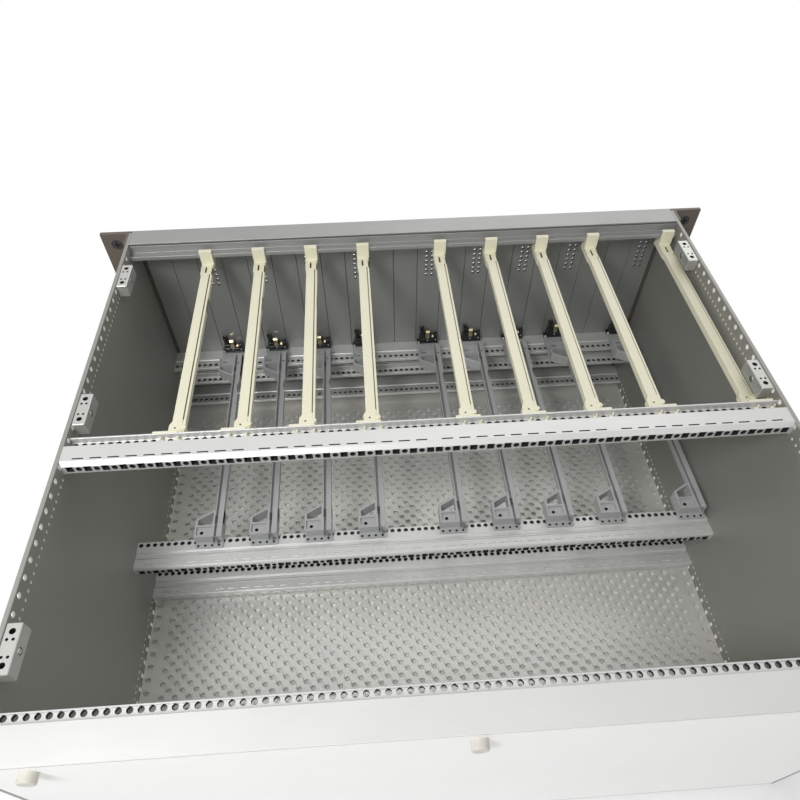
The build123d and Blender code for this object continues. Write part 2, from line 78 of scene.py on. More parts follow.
log = logging.getLogger("card_cage")


class Axis(Enum):
    """The axis that a section is carried along, as a column of the points."""

    X = 0
    Y = 1
    Z = 2


class Grain(Enum):
    """The way that a metal was drawn or rolled, as scales of its noise along X, Y and Z."""

    ALONG_X = (0.02, 1.0, 1.0)
    ALONG_Y = (1.0, 0.03, 1.0)
    ALONG_Z = (1.0, 1.0, 0.03)
    NONE = (1.0, 1.0, 1.0)


# Shapes


def lift(flat: Flat, axis: Axis, along: float) -> Points:
    """Places a flat outline across an axis.

    Args:
        flat: Pairs in the plane: (Y, Z) across X, (X, Z) across Y, (X, Y) across Z.
        axis: The axis that stands square to the plane.
        along: Where the plane cuts that axis.

    Returns:
        The outline's points in space.
    """
    return np.insert(np.asarray(flat, float), axis.value, along, axis=1)


def corner_curves(outline: Flat, radius: float | Flat, steps: int = 1) -> Flat:
    """Eases the corners of a closed outline.

    Each corner P gives way to the curve (1-t)^2 A + 2t(1-t) P + t^2 B, where A and B lie one radius
    from P along its two sides. One step is a plain chamfer.

    Args:
        outline: Corners of the closed outline.
        radius: One radius, or one for each corner. It never takes more than 0.45 of a side.
        steps: Straight pieces in each curve.

    Returns:
        The eased outline.
    """
    corners = np.asarray(outline, float)
    before = np.roll(corners, 1, axis=0) - corners
    after = np.roll(corners, -1, axis=0) - corners
    reach_before = np.linalg.norm(before, axis=1, keepdims=True)
    reach_after = np.linalg.norm(after, axis=1, keepdims=True)
    size = np.broadcast_to(np.asarray(radius, float).reshape(-1, 1), reach_before.shape)
    size = np.minimum(size, 0.45 * np.minimum(reach_before, reach_after))
    start = corners + before / reach_before * size
    end = corners + after / reach_after * size
    t = np.linspace(0.0, 1.0, steps + 1)[None, :, None]
    curve = (1 - t) ** 2 * start[:, None] + 2 * t * (1 - t) * corners[:, None] + t**2 * end[:, None]
    return curve.reshape(-1, 2)


def offset_outline(outline: Flat, distance: float) -> Flat:
    """Moves each side of a closed outline inwards by a distance, with mitred corners.

    Args:
        outline: Corners that run anticlockwise.
        distance: How far each side moves.

    Returns:
        The smaller outline, with as many corners.
    """
    corners = np.asarray(outline, float)
    side = np.roll(corners, -1, axis=0) - corners
    side /= np.linalg.norm(side, axis=1, keepdims=True)
    normal = np.stack([-side[:, 1], side[:, 0]], axis=1)
    before = np.roll(normal, 1, axis=0)
    share = 1.0 + np.sum(normal * before, axis=1, keepdims=True)
    return corners + (normal + before) / np.maximum(share, 0.3) * distance


def circle(centre: Sequence[float], radius: float, sides: int = 24) -> Flat:
    """Points (cx + r cos a, cy + r sin a) of a circle, with a in equal steps."""
    angle = (np.arange(sides) + 0.5) * 2 * math.pi / sides
    return np.stack([centre[0] + radius * np.cos(angle), centre[1] + radius * np.sin(angle)], axis=1)


def rectangle(low: Sequence[float], high: Sequence[float]) -> Flat:
    """Corners of a rectangle between its low and high corners."""
    return np.array([(low[0], low[1]), (high[0], low[1]), (high[0], high[1]), (low[0], high[1])], float)


@dataclass
class Surface:
    """Points and faces of one piece, gathered patch by patch."""

    points: list[np.ndarray] = field(default_factory=list)
    faces: list[np.ndarray] = field(default_factory=list)
    count: int = 0

    def add(self, points: Points, *groups: np.ndarray) -> "Surface":
        """Adds one patch.

        Args:
            points: Its points, in millimetres.
            groups: Arrays of faces; the faces of one array have the same number of corners.

        Returns:
            This surface.
        """
        patch = np.asarray(points, float).reshape(-1, 3)
        self.points.append(patch)
        self.faces.extend(np.asarray(group, int) + self.count for group in groups)
        self.count += len(patch)
        return self

    def merge(self, other: "Surface", moves: Optional[Points] = None) -> "Surface":
        """Adds another surface, once or at each of several moves.

        Args:
            other: The surface to add.
            moves: Shifts in space, one for each copy.

        Returns:
            This surface.
        """
        shifts = np.zeros((1, 3)) if moves is None else np.asarray(moves, float).reshape(-1, 3)
        patch = np.vstack(other.points)
        placed = patch[None] + shifts[:, None]
        step = (np.arange(len(shifts)) * len(patch))[:, None, None]
        groups = [(group[None] + step).reshape(-1, group.shape[1]) for group in other.faces]
        return self.add(placed, *groups)

    def loft(self, rings: np.ndarray, closed_ends: bool = True) -> "Surface":
        """Adds a skin over rings of equal length, as a grid over (ring, point on the ring).

        Args:
            rings: An array of rings by points by 3.
            closed_ends: Whether the first and last rings get a face.

        Returns:
            This surface.
        """
        rows, columns = rings.shape[:2]
        index = np.arange(rows * columns).reshape(rows, columns)
        ahead = np.roll(index, -1, axis=1)
        quads = np.stack([index[:-1], ahead[:-1], ahead[1:], index[1:]], axis=-1).reshape(-1, 4)
        groups = [quads]
        if closed_ends:
            groups += [index[:1, ::-1], index[-1:]]
        return self.add(rings, *groups)

    def prism(self, outline: Flat, axis: Axis, low: float, high: float, ease: float = 0.0) -> "Surface":
        """Adds an outline carried along an axis, with its two rims chamfered.

        Args:
            outline: Corners in the plane across the axis.
            axis: The axis that it is carried along.
            low: Where it starts.
            high: Where it ends.
            ease: Size of the chamfer round both ends.

        Returns:
            This surface.
        """
        ring = np.asarray(outline, float)
        x, y = ring[:, 0], ring[:, 1]
        if np.sum(x * np.roll(y, -1) - np.roll(x, -1) * y) < 0:
            ring = ring[::-1]
        stations = [(ring, low), (ring, high)]
        if ease > 0:
            small = offset_outline(ring, ease)
            stations = [(small, low), (ring, low + ease), (ring, high - ease), (small, high)]
        return self.loft(np.stack([lift(flat, axis, along) for flat, along in stations]))

    def block(self, low: Sequence[float], high: Sequence[float], ease: float = 0.2) -> "Surface":
        """Adds a box with all its edges chamfered, between its low and high corners."""
        outline = corner_curves(rectangle(low[:2], high[:2]), ease)
        return self.prism(outline, Axis.Z, low[2], high[2], ease)

    def turned(self, profile: Flat, axis: Axis, centres: Points, sides: int = 24) -> "Surface":
        """Adds a turned form at each centre: radius r(s) swung round the axis, at height z(s).

        Args:
            profile: Pairs of radius and height; the first and last radius may be nearly nothing.
            axis: The axis that it is turned about.
            centres: The foot of each copy.
            sides: Straight pieces in one turn.

        Returns:
            This surface.
        """
        rings = [lift(circle((0, 0), max(radius, 1e-3), sides), axis, along) for radius, along in profile]
        return self.merge(Surface().loft(np.stack(rings)), centres)

    def rods(self, centres: Points, radius: float, axis: Axis, reach: float, sides: int = 12) -> "Surface":
        """Adds a round rod at each centre, which reaches as far both ways along the axis."""
        return self.turned([(radius, -reach), (radius, reach)], axis, centres, sides)

    def mesh(self, name: str) -> bpy.types.Mesh:
        """Writes the surface as a mesh in metres, with doubles merged and faces turned outwards."""
        points = np.vstack(self.points) * MM
        loops = np.concatenate([group.ravel() for group in self.faces])
        sizes = np.concatenate([np.full(len(group), group.shape[1]) for group in self.faces])
        starts = np.concatenate([[0], np.cumsum(sizes)[:-1]])
        mesh = bpy.data.meshes.new(name)
        mesh.vertices.add(len(points))
        mesh.vertices.foreach_set("co", points.ravel())
        mesh.loops.add(len(loops))
        mesh.loops.foreach_set("vertex_index", loops)
        mesh.polygons.add(len(sizes))
        mesh.polygons.foreach_set("loop_start", starts)
        mesh.update(calc_edges=True)
        work = bmesh.new()
        work.from_mesh(mesh)
        bmesh.ops.remove_doubles(work, verts=work.verts, dist=1e-7)
        bmesh.ops.recalc_face_normals(work, faces=work.faces)
        work.to_mesh(mesh)
        work.free()
        mesh.shade_flat()
        return mesh


# Finishes


@dataclass
class Shader:
    """A node tree round one principled shader, built by short calls."""

    material: bpy.types.Material

    @classmethod
    def named(cls, name: str) -> "Shader":
        """Starts a material with a principled shader in it."""
        material = bpy.data.materials.new(name)
        material.use_nodes = True
        return cls(material)

    @property
    def tree(self) -> bpy.types.NodeTree:
        """The material's node tree."""
        return self.material.node_tree

    @property
    def surface(self) -> bpy.types.Node:
        """The principled shader."""
        return self.tree.nodes["Principled BSDF"]

    def noise(
        self, scale: float, detail: float, stretch: Sequence[float] = (1, 1, 1)
    ) -> bpy.types.NodeSocket:
        """Noise over the piece's own coordinates.

        Args:
            scale: Clouds in a metre.
            detail: Octaves of smaller clouds.
            stretch: Scales along X, Y and Z; a small one draws the noise out along that axis.

        Returns:
            The noise's value.
        """
        nodes, links = self.tree.nodes, self.tree.links
        place = nodes.new("ShaderNodeTexCoord")
        mapping = nodes.new("ShaderNodeMapping")
        mapping.inputs["Scale"].default_value = stretch
        cloud = nodes.new("ShaderNodeTexNoise")
        cloud.inputs["Scale"].default_value = scale
        cloud.inputs["Detail"].default_value = detail
        links.new(place.outputs["Object"], mapping.inputs["Vector"])
        links.new(mapping.outputs["Vector"], cloud.inputs["Vector"])
        return cloud.outputs["Fac"]

    def remap(self, value: bpy.types.NodeSocket, low: float, high: float) -> bpy.types.NodeSocket:
        """Spreads the middle of a noise over a range from low to high."""
        node = self.tree.nodes.new("ShaderNodeMapRange")
        node.inputs["From Min"].default_value = 0.3
        node.inputs["From Max"].default_value = 0.7
        node.inputs["To Min"].default_value = low
        node.inputs["To Max"].default_value = high
        self.tree.links.new(value, node.inputs["Value"])
        return node.outputs["Result"]

    def tint(self, value: bpy.types.NodeSocket, low: Sequence[float], high: Sequence[float]) -> None:
        """Colours the surface between two tones by a value."""
        node = self.tree.nodes.new("ShaderNodeMix")
        node.data_type = "RGBA"
        node.inputs["A"].default_value = (*low, 1.0)
        node.inputs["B"].default_value = (*high, 1.0)
        self.tree.links.new(value, node.inputs["Factor"])
        self.tree.links.new(node.outputs["Result"], self.surface.inputs["Base Color"])

    def rough(self, value: bpy.types.NodeSocket) -> None:
        """Sets the roughness from a value."""
        self.tree.links.new(value, self.surface.inputs["Roughness"])

    def relief(self, value: bpy.types.NodeSocket, strength: float, depth: float) -> None:
        """Raises the surface by a value, over a depth in millimetres."""
        node = self.tree.nodes.new("ShaderNodeBump")
        node.inputs["Strength"].default_value = strength
        node.inputs["Distance"].default_value = depth * MM
        self.tree.links.new(value, node.inputs["Height"])
        self.tree.links.new(node.outputs["Normal"], self.surface.inputs["Normal"])


def shade(tone: Sequence[float], amount: float) -> tuple[float, ...]:
    """A tone made lighter or darker by a factor."""
    return tuple(min(1.0, channel * amount) for channel in tone)


@dataclass(frozen=True)
class Finish:
    """A plain finish. Its kinds below add what each real surface shows."""

    name: str
    slot: str
    tone: tuple[float, float, float]
    roughness: float = 0.5
    metallic: float = 0.0

    def material(self) -> bpy.types.Material:
        """The finish's material, made once and then shared."""
        found = bpy.data.materials.get(self.name)
        if found is not None:
            return found
        shader = Shader.named(self.name)
        shader.surface.inputs["Metallic"].default_value = self.metallic
        self.dress(shader)
        return shader.material

    def dress(self, shader: Shader) -> None:
        """Adds faint clouds to the tone and the roughness."""
        cloud = shader.noise(60.0, 3.0)
        shader.tint(cloud, shade(self.tone, 0.94), shade(self.tone, 1.05))
        shader.rough(shader.remap(cloud, self.roughness - 0.04, self.roughness + 0.04))


@dataclass(frozen=True)
class Drawn(Finish):
    """Drawn or extruded metal: fine lines along the grain, and a little cloud across them."""

    grain: Grain = Grain.ALONG_X
    lines: float = 2600.0

    def dress(self, shader: Shader) -> None:
        """Adds the lines to the roughness and the relief, and clouds to the tone."""
        line = shader.noise(self.lines, 3.0, self.grain.value)
        cloud = shader.noise(22.0, 4.0)
        shader.tint(cloud, shade(self.tone, 0.93), shade(self.tone, 1.05))
        shader.rough(shader.remap(line, self.roughness - 0.07, self.roughness + 0.07))
        shader.relief(line, 0.12, 0.02)


@dataclass(frozen=True)
class Passivated(Finish):
    """Passivated sheet: broad soft clouds, a warmer second tone and a fine grain."""

    warm: tuple[float, float, float] = (1.0, 0.99, 0.95)

    def dress(self, shader: Shader) -> None:
        """Adds the clouds to the tone and roughness, and the grain to the relief."""
        cloud = shader.noise(14.0, 5.0)
        grain = shader.noise(1400.0, 2.0)
        second = tuple(a * b for a, b in zip(shade(self.tone, 1.06), self.warm))
        shader.tint(cloud, shade(self.tone, 0.9), second)
        shader.rough(shader.remap(cloud, self.roughness - 0.06, self.roughness + 0.06))
        shader.relief(grain, 0.1, 0.03)


@dataclass(frozen=True)
class Moulded(Finish):
    """Moulded plastic: pores of the tool's skin and slow clouds of flow."""

    pores: float = 1900.0

    def dress(self, shader: Shader) -> None:
        """Adds the flow to the tone and the pores to the roughness and relief."""
        flow = shader.noise(45.0, 2.0)
        pore = shader.noise(self.pores, 2.0)
        shader.tint(flow, shade(self.tone, 0.95), shade(self.tone, 1.03))
        shader.rough(shader.remap(pore, self.roughness - 0.05, self.roughness + 0.08))
        shader.relief(pore, 0.16, 0.03)


@dataclass(frozen=True)
class Coated(Finish):
    """Powder-coated metal: the shallow dimples of the cured powder."""

    def dress(self, shader: Shader) -> None:
        """Adds the dimples to the relief and faint clouds to the tone."""
        dimple = shader.noise(900.0, 1.0)
        cloud = shader.noise(20.0, 3.0)
        shader.tint(cloud, shade(self.tone, 0.97), shade(self.tone, 1.02))
        shader.rough(shader.remap(dimple, self.roughness - 0.05, self.roughness + 0.05))
        shader.relief(dimple, 0.25, 0.04)


RAIL = Drawn("drawn_rail_metal", "rail_extrusion", (0.66, 0.66, 0.65), 0.45, 0.4)
SIDE = Passivated("side_sheet_metal", "side_sheet", (0.34, 0.34, 0.322), 0.5, 0.5)
# Painted shade: a darker copy of the rail metal for the front top rail, where less light falls.
FRONT_RAIL_PAINTED_SHADE = Drawn("front_rail_painted_shade", "rail_extrusion", (0.36, 0.36, 0.352), 0.45, 0.4)
# Painted shade: near-black walls for holes, vents and slots, standing in for the shade inside them.
HOLE_PAINTED_SHADE = Drawn("hole_wall_painted_shade", "rail_extrusion", (0.03, 0.03, 0.03), 0.6, 0.2)
# Painted highlight: bright walls for the side panels' holes and countersinks and the lower rails' slots,
# standing in for the light that falls into them.
SIDE_PAINTED_HIGHLIGHT = Passivated("side_sheet_painted_highlight", "side_sheet", (0.86, 0.86, 0.84), 0.4, 0.4)
EAR = Drawn("anodised_ear_metal", "ear_metal", (0.13, 0.11, 0.088), 0.45, 0.3, Grain.ALONG_Z)
FRONT = Drawn("front_sheet_metal", "front_sheet", (0.34, 0.345, 0.335), 0.42, 0.5, Grain.ALONG_Z)
CREAM = Moulded("cream_moulding", "cream_plastic", (0.86, 0.83, 0.64), 0.42)
# Painted shade: dark cream for the walls of the upper guides' slot, notch, step, line and hole, standing in
# for the shade inside them.
CREAM_PAINTED_SHADE = Moulded("cream_groove_painted_shade", "cream_plastic", (0.28, 0.25, 0.15), 0.6)
GREY = Moulded("grey_moulding", "grey_plastic", (0.45, 0.46, 0.46), 0.4)
PLATE = Passivated("perforated_sheet_metal", "perforated_sheet", (0.78, 0.78, 0.755), 0.45, 0.5)
# Painted highlight: lighter walls for the bottom plate's holes and edges, standing in for the light that
# falls into the holes.
PLATE_PAINTED_HIGHLIGHT = Passivated("perforated_sheet_painted_highlight", "perforated_sheet", (0.85, 0.85, 0.83), 0.4, 0.5)
REAR = Coated("rear_panel_paint", "rear_paint", (0.93, 0.93, 0.92), 0.5)
BUMPER = Moulded("bumper_moulding", "bumper_plastic", (0.62, 0.60, 0.54), 0.5)
BLOCK = Passivated("cast_block_metal", "block_metal", (0.56, 0.57, 0.55), 0.36, 0.6)
STEEL = Drawn("zinc_screw_metal", "screw_steel", (0.60, 0.60, 0.58), 0.3, 1.0, Grain.NONE)
BLACKENED = Drawn("black_screw_metal", "dark_screw", (0.045, 0.045, 0.045), 0.35, 0.4, Grain.NONE)
CLIP_BLACK = Moulded("clip_black_moulding", "dark_screw", (0.02, 0.02, 0.022), 0.35)
BRASS = Drawn("contact_brass", "screw_steel", (0.80, 0.70, 0.42), 0.3, 1.0, Grain.NONE)
CHROME = Drawn("bright_pin_metal", "screw_steel", (0.88, 0.88, 0.87), 0.16, 1.0, Grain.NONE)
# Painted shade: dark strips in the seams between the front panels, standing in for the shade of the narrow
# gaps.
SEAM_PAINTED_SHADE = Moulded("seam_painted_shade", "dark_screw", (0.035, 0.035, 0.035), 0.6)


# Pieces on the frame


@dataclass
class Span:
    """The box of a node, in millimetres."""

    low: Points
    high: Points

    @classmethod
    @lru_cache(maxsize=None)
    def of(cls, node: str) -> "Span":
        """Reads a node's box from the frame."""
        low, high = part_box(node)
        return cls(np.array(low) / MM, np.array(high) / MM)

    @property
    def middle(self) -> Points:
        """The middle of the box."""
        return (self.low + self.high) / 2


def place(surface: Surface, name: str, finish: Finish, *nodes: str) -> bpy.types.Object:
    """Makes a surface a piece of the object.

    Args:
        surface: Its shape.
        name: Its name.
        finish: Its finish.
        nodes: The nodes of the frame that it stands for.

    Returns:
        The piece, riding on the frame.
    """
    piece = bpy.data.objects.new(name, surface.mesh(name))
    bpy.context.scene.collection.objects.link(piece)
    piece.data.materials.append(finish.material())
    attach(piece, BODY)
    if nodes:
        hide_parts(*nodes)
    log.info("%s: %d faces", name, len(piece.data.polygons))
    return piece


def cut(
    piece: bpy.types.Object, tool: Surface, inside: Optional[Finish] = None, joined: bool = False
) -> None:
    """Takes a surface's volume out of a piece.

    Args:
        piece: The piece.
        tool: What is taken out.
        inside: The finish of the new faces; the piece's own where it is left out.
        joined: Whether the piece's own shells run into each other and are joined as they are cut.
    """
    cutter = bpy.data.objects.new("cutter", tool.mesh("cutter"))
    bpy.context.scene.collection.objects.link(cutter)
    modifier = piece.modifiers.new("cut", "BOOLEAN")
    modifier.operation = "DIFFERENCE"
    modifier.solver = "EXACT"
    modifier.object = cutter
    modifier.use_self = joined
    if inside is not None:
        cutter.data.materials.append(inside.material())
        modifier.material_mode = "TRANSFER"
    graph = bpy.context.evaluated_depsgraph_get()
    made = bpy.data.meshes.new_from_object(piece.evaluated_get(graph))
    old = piece.data
    piece.modifiers.remove(modifier)
    piece.data = made
    bpy.data.meshes.remove(old)
    bpy.data.objects.remove(cutter)
    log.info("%s cut: %d faces", piece.name, len(made.polygons))


def edge_wall_finish(piece: bpy.types.Object, axis: Axis, finish: Finish) -> None:
    """Gives a sheet's cut edges and the walls of its holes a finish of their own.

    Args:
        piece: The sheet.
        axis: The axis that stands square to it; an edge is a face that looks across this axis.
        finish: The finish of the edges.
    """
    mesh = piece.data
    normals = np.zeros(3 * len(mesh.polygons))
    mesh.polygons.foreach_get("normal", normals)
    edge = np.abs(normals.reshape(-1, 3)[:, axis.value]) < 0.5
    mesh.materials.append(finish.material())
    mesh.polygons.foreach_set("material_index", edge.astype(np.int32))


def dress(nodes: dict[str, bpy.types.Object], finish: Finish, *prefixes: str) -> None:
    """Gives every node whose name starts with one of the prefixes a finish."""
    for name, node in nodes.items():
        if name.startswith(prefixes):
            node.data.materials.clear()
            node.data.materials.append(finish.material())
            log.info("%s dressed as %s", name, finish.name)


@dataclass
class Grid:
    """The card grid: places across the cage, counted in pitches from its +X or -X end."""

    pitch: float = 5.08
    pitches: int = 84
    segment: int = 21

    @property
    def start(self) -> float:
        """X of the first pitch line."""
        return -self.pitch * self.pitches / 2

    def lines(self, step: int = 1, shift: float = 0.0) -> Flat:
        """X of the pitch lines across the cage, both ends among them.

        Args:
            step: How many pitches apart.
            shift: Where the first line lies, in pitches.

        Returns:
            An array of X values.
        """
        count = np.arange(shift, self.pitches + 0.5, step)
        return self.start + count * self.pitch


def row(xs: Flat, y: float, z: float) -> Points:
    """Points at each X of a row, with the same Y and Z."""
    return np.stack([xs, np.full(len(xs), y), np.full(len(xs), z)], axis=1)


@dataclass
class Rail:
    """A rail across the cage, as (inwards, outwards) sizes from its seat and its middle line."""

    node: str
    inwards: int
    outwards: int
    grid: Grid
    half: float = 4.65
    ease: float = 0.18
    bore: float = 2.0
    flange_wall: float = 2.0
    rim: float = 1.0
    rim_height: float = 0.9
    relief_width: float = 2.4
    relief_depth: float = 0.8
    hole: float = 1.65
    finish: Finish = RAIL

    @property
    def span(self) -> Span:
        """The rail's box."""
        return Span.of(self.node)

    @property
    def level(self) -> float:
        """Height of the middle line."""
        span = self.span
        return span.low[2] + self.half if self.outwards > 0 else span.high[2] - self.half

    @property
    def seat(self) -> float:
        """Y of the fastening face."""
        span = self.span
        return span.low[1] if self.inwards > 0 else span.high[1]

    def y(self, depth: float) -> float:
        """Y of a depth from the seat."""
        return self.seat + self.inwards * depth

    def z(self, rise: float) -> float:
        """Z of a rise from the middle line."""
        return self.level + self.outwards * rise

    def outline(self) -> Flat:
        """The rail's section as (inwards, outwards) pairs."""
        raise NotImplementedError

    def tools(self) -> Surface:
        """What is drilled or milled out of the rail."""
        raise NotImplementedError

    def build(self) -> bpy.types.Object:
        """Extrudes the section across the cage and cuts its holes, whose walls get painted shade.

        Returns:
            The rail.
        """
        flat = corner_curves(self.outline(), self.ease)
        section = np.stack([self.y(flat[:, 0]), self.z(flat[:, 1])], axis=1)
        span = self.span
        surface = Surface().prism(section, Axis.X, span.low[0], span.high[0])
        piece = place(surface, self.node.replace("rail", "rail_dressed"), self.finish, self.node)
        cut(piece, self.tools(), HOLE_PAINTED_SHADE)
        return piece


@dataclass
class EdgeRail(Rail):
    """A front or rear rail: a body with a screw channel, and a narrow flange with a rim."""

    lipped: bool = False
    holes: Optional[Flat] = None
    body: float = 15.9
    flange: float = 7.5
    wall: float = 2.5
    lip: float = 1.7
    opening: float = 3.6
    chamber: float = 5.2
    neck: float = 1.2
    channel: float = 4.2
    groove_drop: float = 1.0
    groove_height: float = 1.2
    groove_depth: float = 2.0
    hole_depth: float = 3.5

    @property
    def seat(self) -> float:
        """Y of the fastening face; a lip stands one panel's thickness in front of it."""
        return super().seat + (self.inwards * self.wall if self.lipped else 0.0)

    def outline(self) -> Flat:
        """The section: channel side, underside with its relief, flange and rim, groove, top and lip."""
        span = self.span
        outer = (span.high[2] - self.level) if self.outwards > 0 else (self.level - span.low[2])
        half, end = self.half, self.body + self.flange
        relief_far = self.body - self.relief_depth
        relief_near = relief_far - self.relief_width
        top, rim_top = self.flange_wall - half, self.flange_wall - half + self.rim_height
        high = outer - self.groove_drop
        low = high - self.groove_height
        wide, narrow = self.chamber / 2, self.opening / 2
        under = [(0, -half), (relief_near - self.relief_depth, -half)]
        under += [(relief_near, self.relief_depth - half)]
        under += [(relief_far, self.relief_depth - half), (self.body, -half), (end, -half)]
        flange = [(end, rim_top), (end - self.rim, rim_top), (end - self.rim, top), (self.body, top)]
        groove = [(self.body, low), (self.body - self.groove_depth, low)]
        groove += [(self.body - self.groove_depth, high), (self.body, high), (self.body, outer)]
        lip = [(0, outer)]
        if self.lipped:
            lip = [(-self.wall, outer), (-self.wall, outer - self.lip), (0, outer - self.lip)]
        channel = [(0, narrow), (self.neck, narrow), (self.neck, wide), (self.channel, wide)]
        channel += [(self.channel, -wide), (self.neck, -wide), (self.neck, -narrow), (0, -narrow)]
        return np.array(under + flange + groove + lip + channel, float)

    def tools(self) -> Surface:
        """The row of holes through the flange, one on each pitch line unless their places are given."""
        xs = self.grid.lines() if self.holes is None else self.holes
        centres = row(xs, self.y(self.body + self.hole_depth), self.z(self.flange_wall / 2 - self.half))
        return Surface().rods(centres, self.hole, Axis.Z, self.flange_wall)


@dataclass
class MiddleRail(Rail):
    """A middle rail: a bevelled body full of holes, and a recessed flange with a rim for the guides."""

    body: float = 14.1
    flange: float = 9.1
    flange_wall: float = 4.0
    rim_height: float = 2.3
    bevel: float = 2.6
    root_row: float = 6.3
    slot_length: float = 6.7
    slot_width: float = 0.9
    slot_row: float = 4.1
    slot_deep: float = 1.2
    square: float = 4.2
    round: float = 1.75
    pocket: float = 5.0
    scallop: float = 2.9
    scallop_drop: float = 1.9
    line_row: float = 8.6
    line_width: float = 0.6
    line_depth: float = 0.7
    face_up: bool = True
    pockets: bool = True

    def outline(self) -> Flat:
        """The section: bevelled back, underside with its relief, flange and rim, and the wide face."""
        span = self.span
        outer = (span.high[2] - self.level) if self.outwards > 0 else (self.level - span.low[2])
        half, end = self.half, self.body + self.flange
        relief_far = self.body - self.relief_depth
        relief_near = relief_far - self.relief_width
        top, rim_top = self.flange_wall - half, self.flange_wall - half + self.rim_height
        under = [(0, self.bevel / 2 - half), (self.bevel / 2, -half)]
        if not self.face_up:
            line = self.line_row - self.line_width / 2
            under += [(line, -half), (line, self.line_depth - half)]
            under += [(line + self.line_width, self.line_depth - half), (line + self.line_width, -half)]
        under += [(relief_near - self.relief_depth, -half), (relief_near, self.relief_depth - half)]
        under += [(relief_far, self.relief_depth - half), (self.body, -half)]
        return np.array(under + [
            (end, -half), (end, rim_top), (end - self.rim, rim_top), (end - self.rim, top),
            (self.body, top), (self.body, outer), (self.bevel, outer), (0, outer - self.bevel),
        ], float)

    def tools(self) -> Surface:
        """Root holes, and square and round holes in the back."""
        root_y, root_z = self.y(self.body + self.root_row), self.z(self.flange_wall / 2 - self.half)
        root = row(self.grid.lines(), root_y, root_z)
        tool = Surface().rods(root, self.hole, Axis.Z, self.flange_wall)
        square_xs, round_xs = self.pattern()
        if not self.pockets:
            return tool
        half = self.square / 2
        hole = Surface().prism(rectangle((-half, -half), (half, half)), Axis.Y, -self.pocket, self.pocket)
        tool.merge(hole, row(square_xs, self.seat, self.level))
        tool.rods(row(round_xs, self.seat, self.level), self.round, Axis.Y, self.pocket)
        scallop = Surface().rods([(0, 0, 0)], self.scallop, Axis.Y, self.bevel / 2, 16)
        low = self.level - self.half - self.scallop_drop
        return tool.merge(scallop, row(square_xs, self.seat, low))

    def build(self) -> bpy.types.Object:
        """Makes the rail, then mills the row of slots along its seen face.

        Returns:
            The rail.
        """
        piece = super().build()
        long, short = self.slot_length / 2, self.slot_width / 2
        dash = rectangle((-long, -short), (long, short))
        dash = corner_curves(dash, self.slot_width * 0.45, 3)
        slot = Surface().prism(dash, Axis.Z, -self.slot_deep, self.slot_deep)
        seen = self.half if self.face_up else -self.half
        places = row(self.pattern()[1], self.y(self.slot_row), self.z(seen))
        # The slots' walls get painted shade on a face that looks up, and a painted highlight on a face that
        # looks down.
        cut(piece, Surface().merge(slot, places), HOLE_PAINTED_SHADE if self.face_up else SIDE_PAINTED_HIGHLIGHT)
        return piece

    def pattern(self) -> tuple[Flat, Flat]:
        """X of the square and of the round holes, which take turns and start again in each segment."""
        squares, rounds = [], []
        for segment in range(self.grid.pitches // self.grid.segment):
            first = self.grid.start + segment * self.grid.segment * self.grid.pitch
            count = np.arange(self.grid.segment)
            xs = first + (count + 0.5) * self.grid.pitch
            squares.append(xs[count % 2 == 0])
            rounds.append(xs[count % 2 == 1])
        return np.concatenate(squares), np.concatenate(rounds)


@dataclass
class SidePanels:
    """Both side panels, with rows of small holes along their top and bottom edges."""

    ease: float = 0.3
    small_radius: float = 0.95
    small_pitch: float = 5.08
    small_drop: float = 9.5
    small_start: float = -1.8
    large_radius: float = 1.75
    large_pitch: float = 10.16
    large_drop: float = 3.3
    large_start: float = 3.8
    margin: float = 24.0
    screw: float = 2.0
    sink: float = 3.9
    ear_screw: float = 2.0

    def build(self, screws: "RailScrews") -> None:
        """Makes each sheet, drills its rows and sinks its screws.

        Args:
            screws: The screws that hold the rails and the cover blocks.
        """
        for name, side in (("side_panel_right", 1), ("side_panel_left", -1)):
            span = Span.of(name)
            sheet = rectangle(span.low[1:], span.high[1:])
            surface = Surface().prism(sheet, Axis.X, span.low[0], span.high[0], self.ease)
            piece = place(surface, f"{name}_drilled", SIDE, name)
            tool = Surface()
            for pitch, radius, drop, start, sides in (
                (self.small_pitch, self.small_radius, self.small_drop, self.small_start, 8),
                (self.large_pitch, self.large_radius, self.large_drop, self.large_start, 12),
            ):
                steps = np.arange(math.ceil((span.low[1] + self.margin - start) / pitch), 200)
                ys = start + steps * pitch
                ys = ys[ys < span.high[1] - self.margin]
                for z in (span.low[2] + drop, span.high[2] - drop):
                    free = ys[[not screws.near(y, z, radius) for y in ys]]
                    across, up = np.full(len(free), span.middle[0]), np.full(len(free), z)
                    centres = np.stack([across, free, up], axis=1)
                    tool.rods(centres, radius, Axis.X, 4.0, sides)
            outer = span.high[0] if side > 0 else span.low[0]
            tool.merge(screws.sinks(side, outer, self.screw, self.sink), None)
            for y, z in screws.ear_places:
                tool.rods([(span.middle[0], y, z)], self.ear_screw, Axis.X, 4.0)
            # The walls of the holes and countersinks get a painted highlight.
            cut(piece, tool, SIDE_PAINTED_HIGHLIGHT)


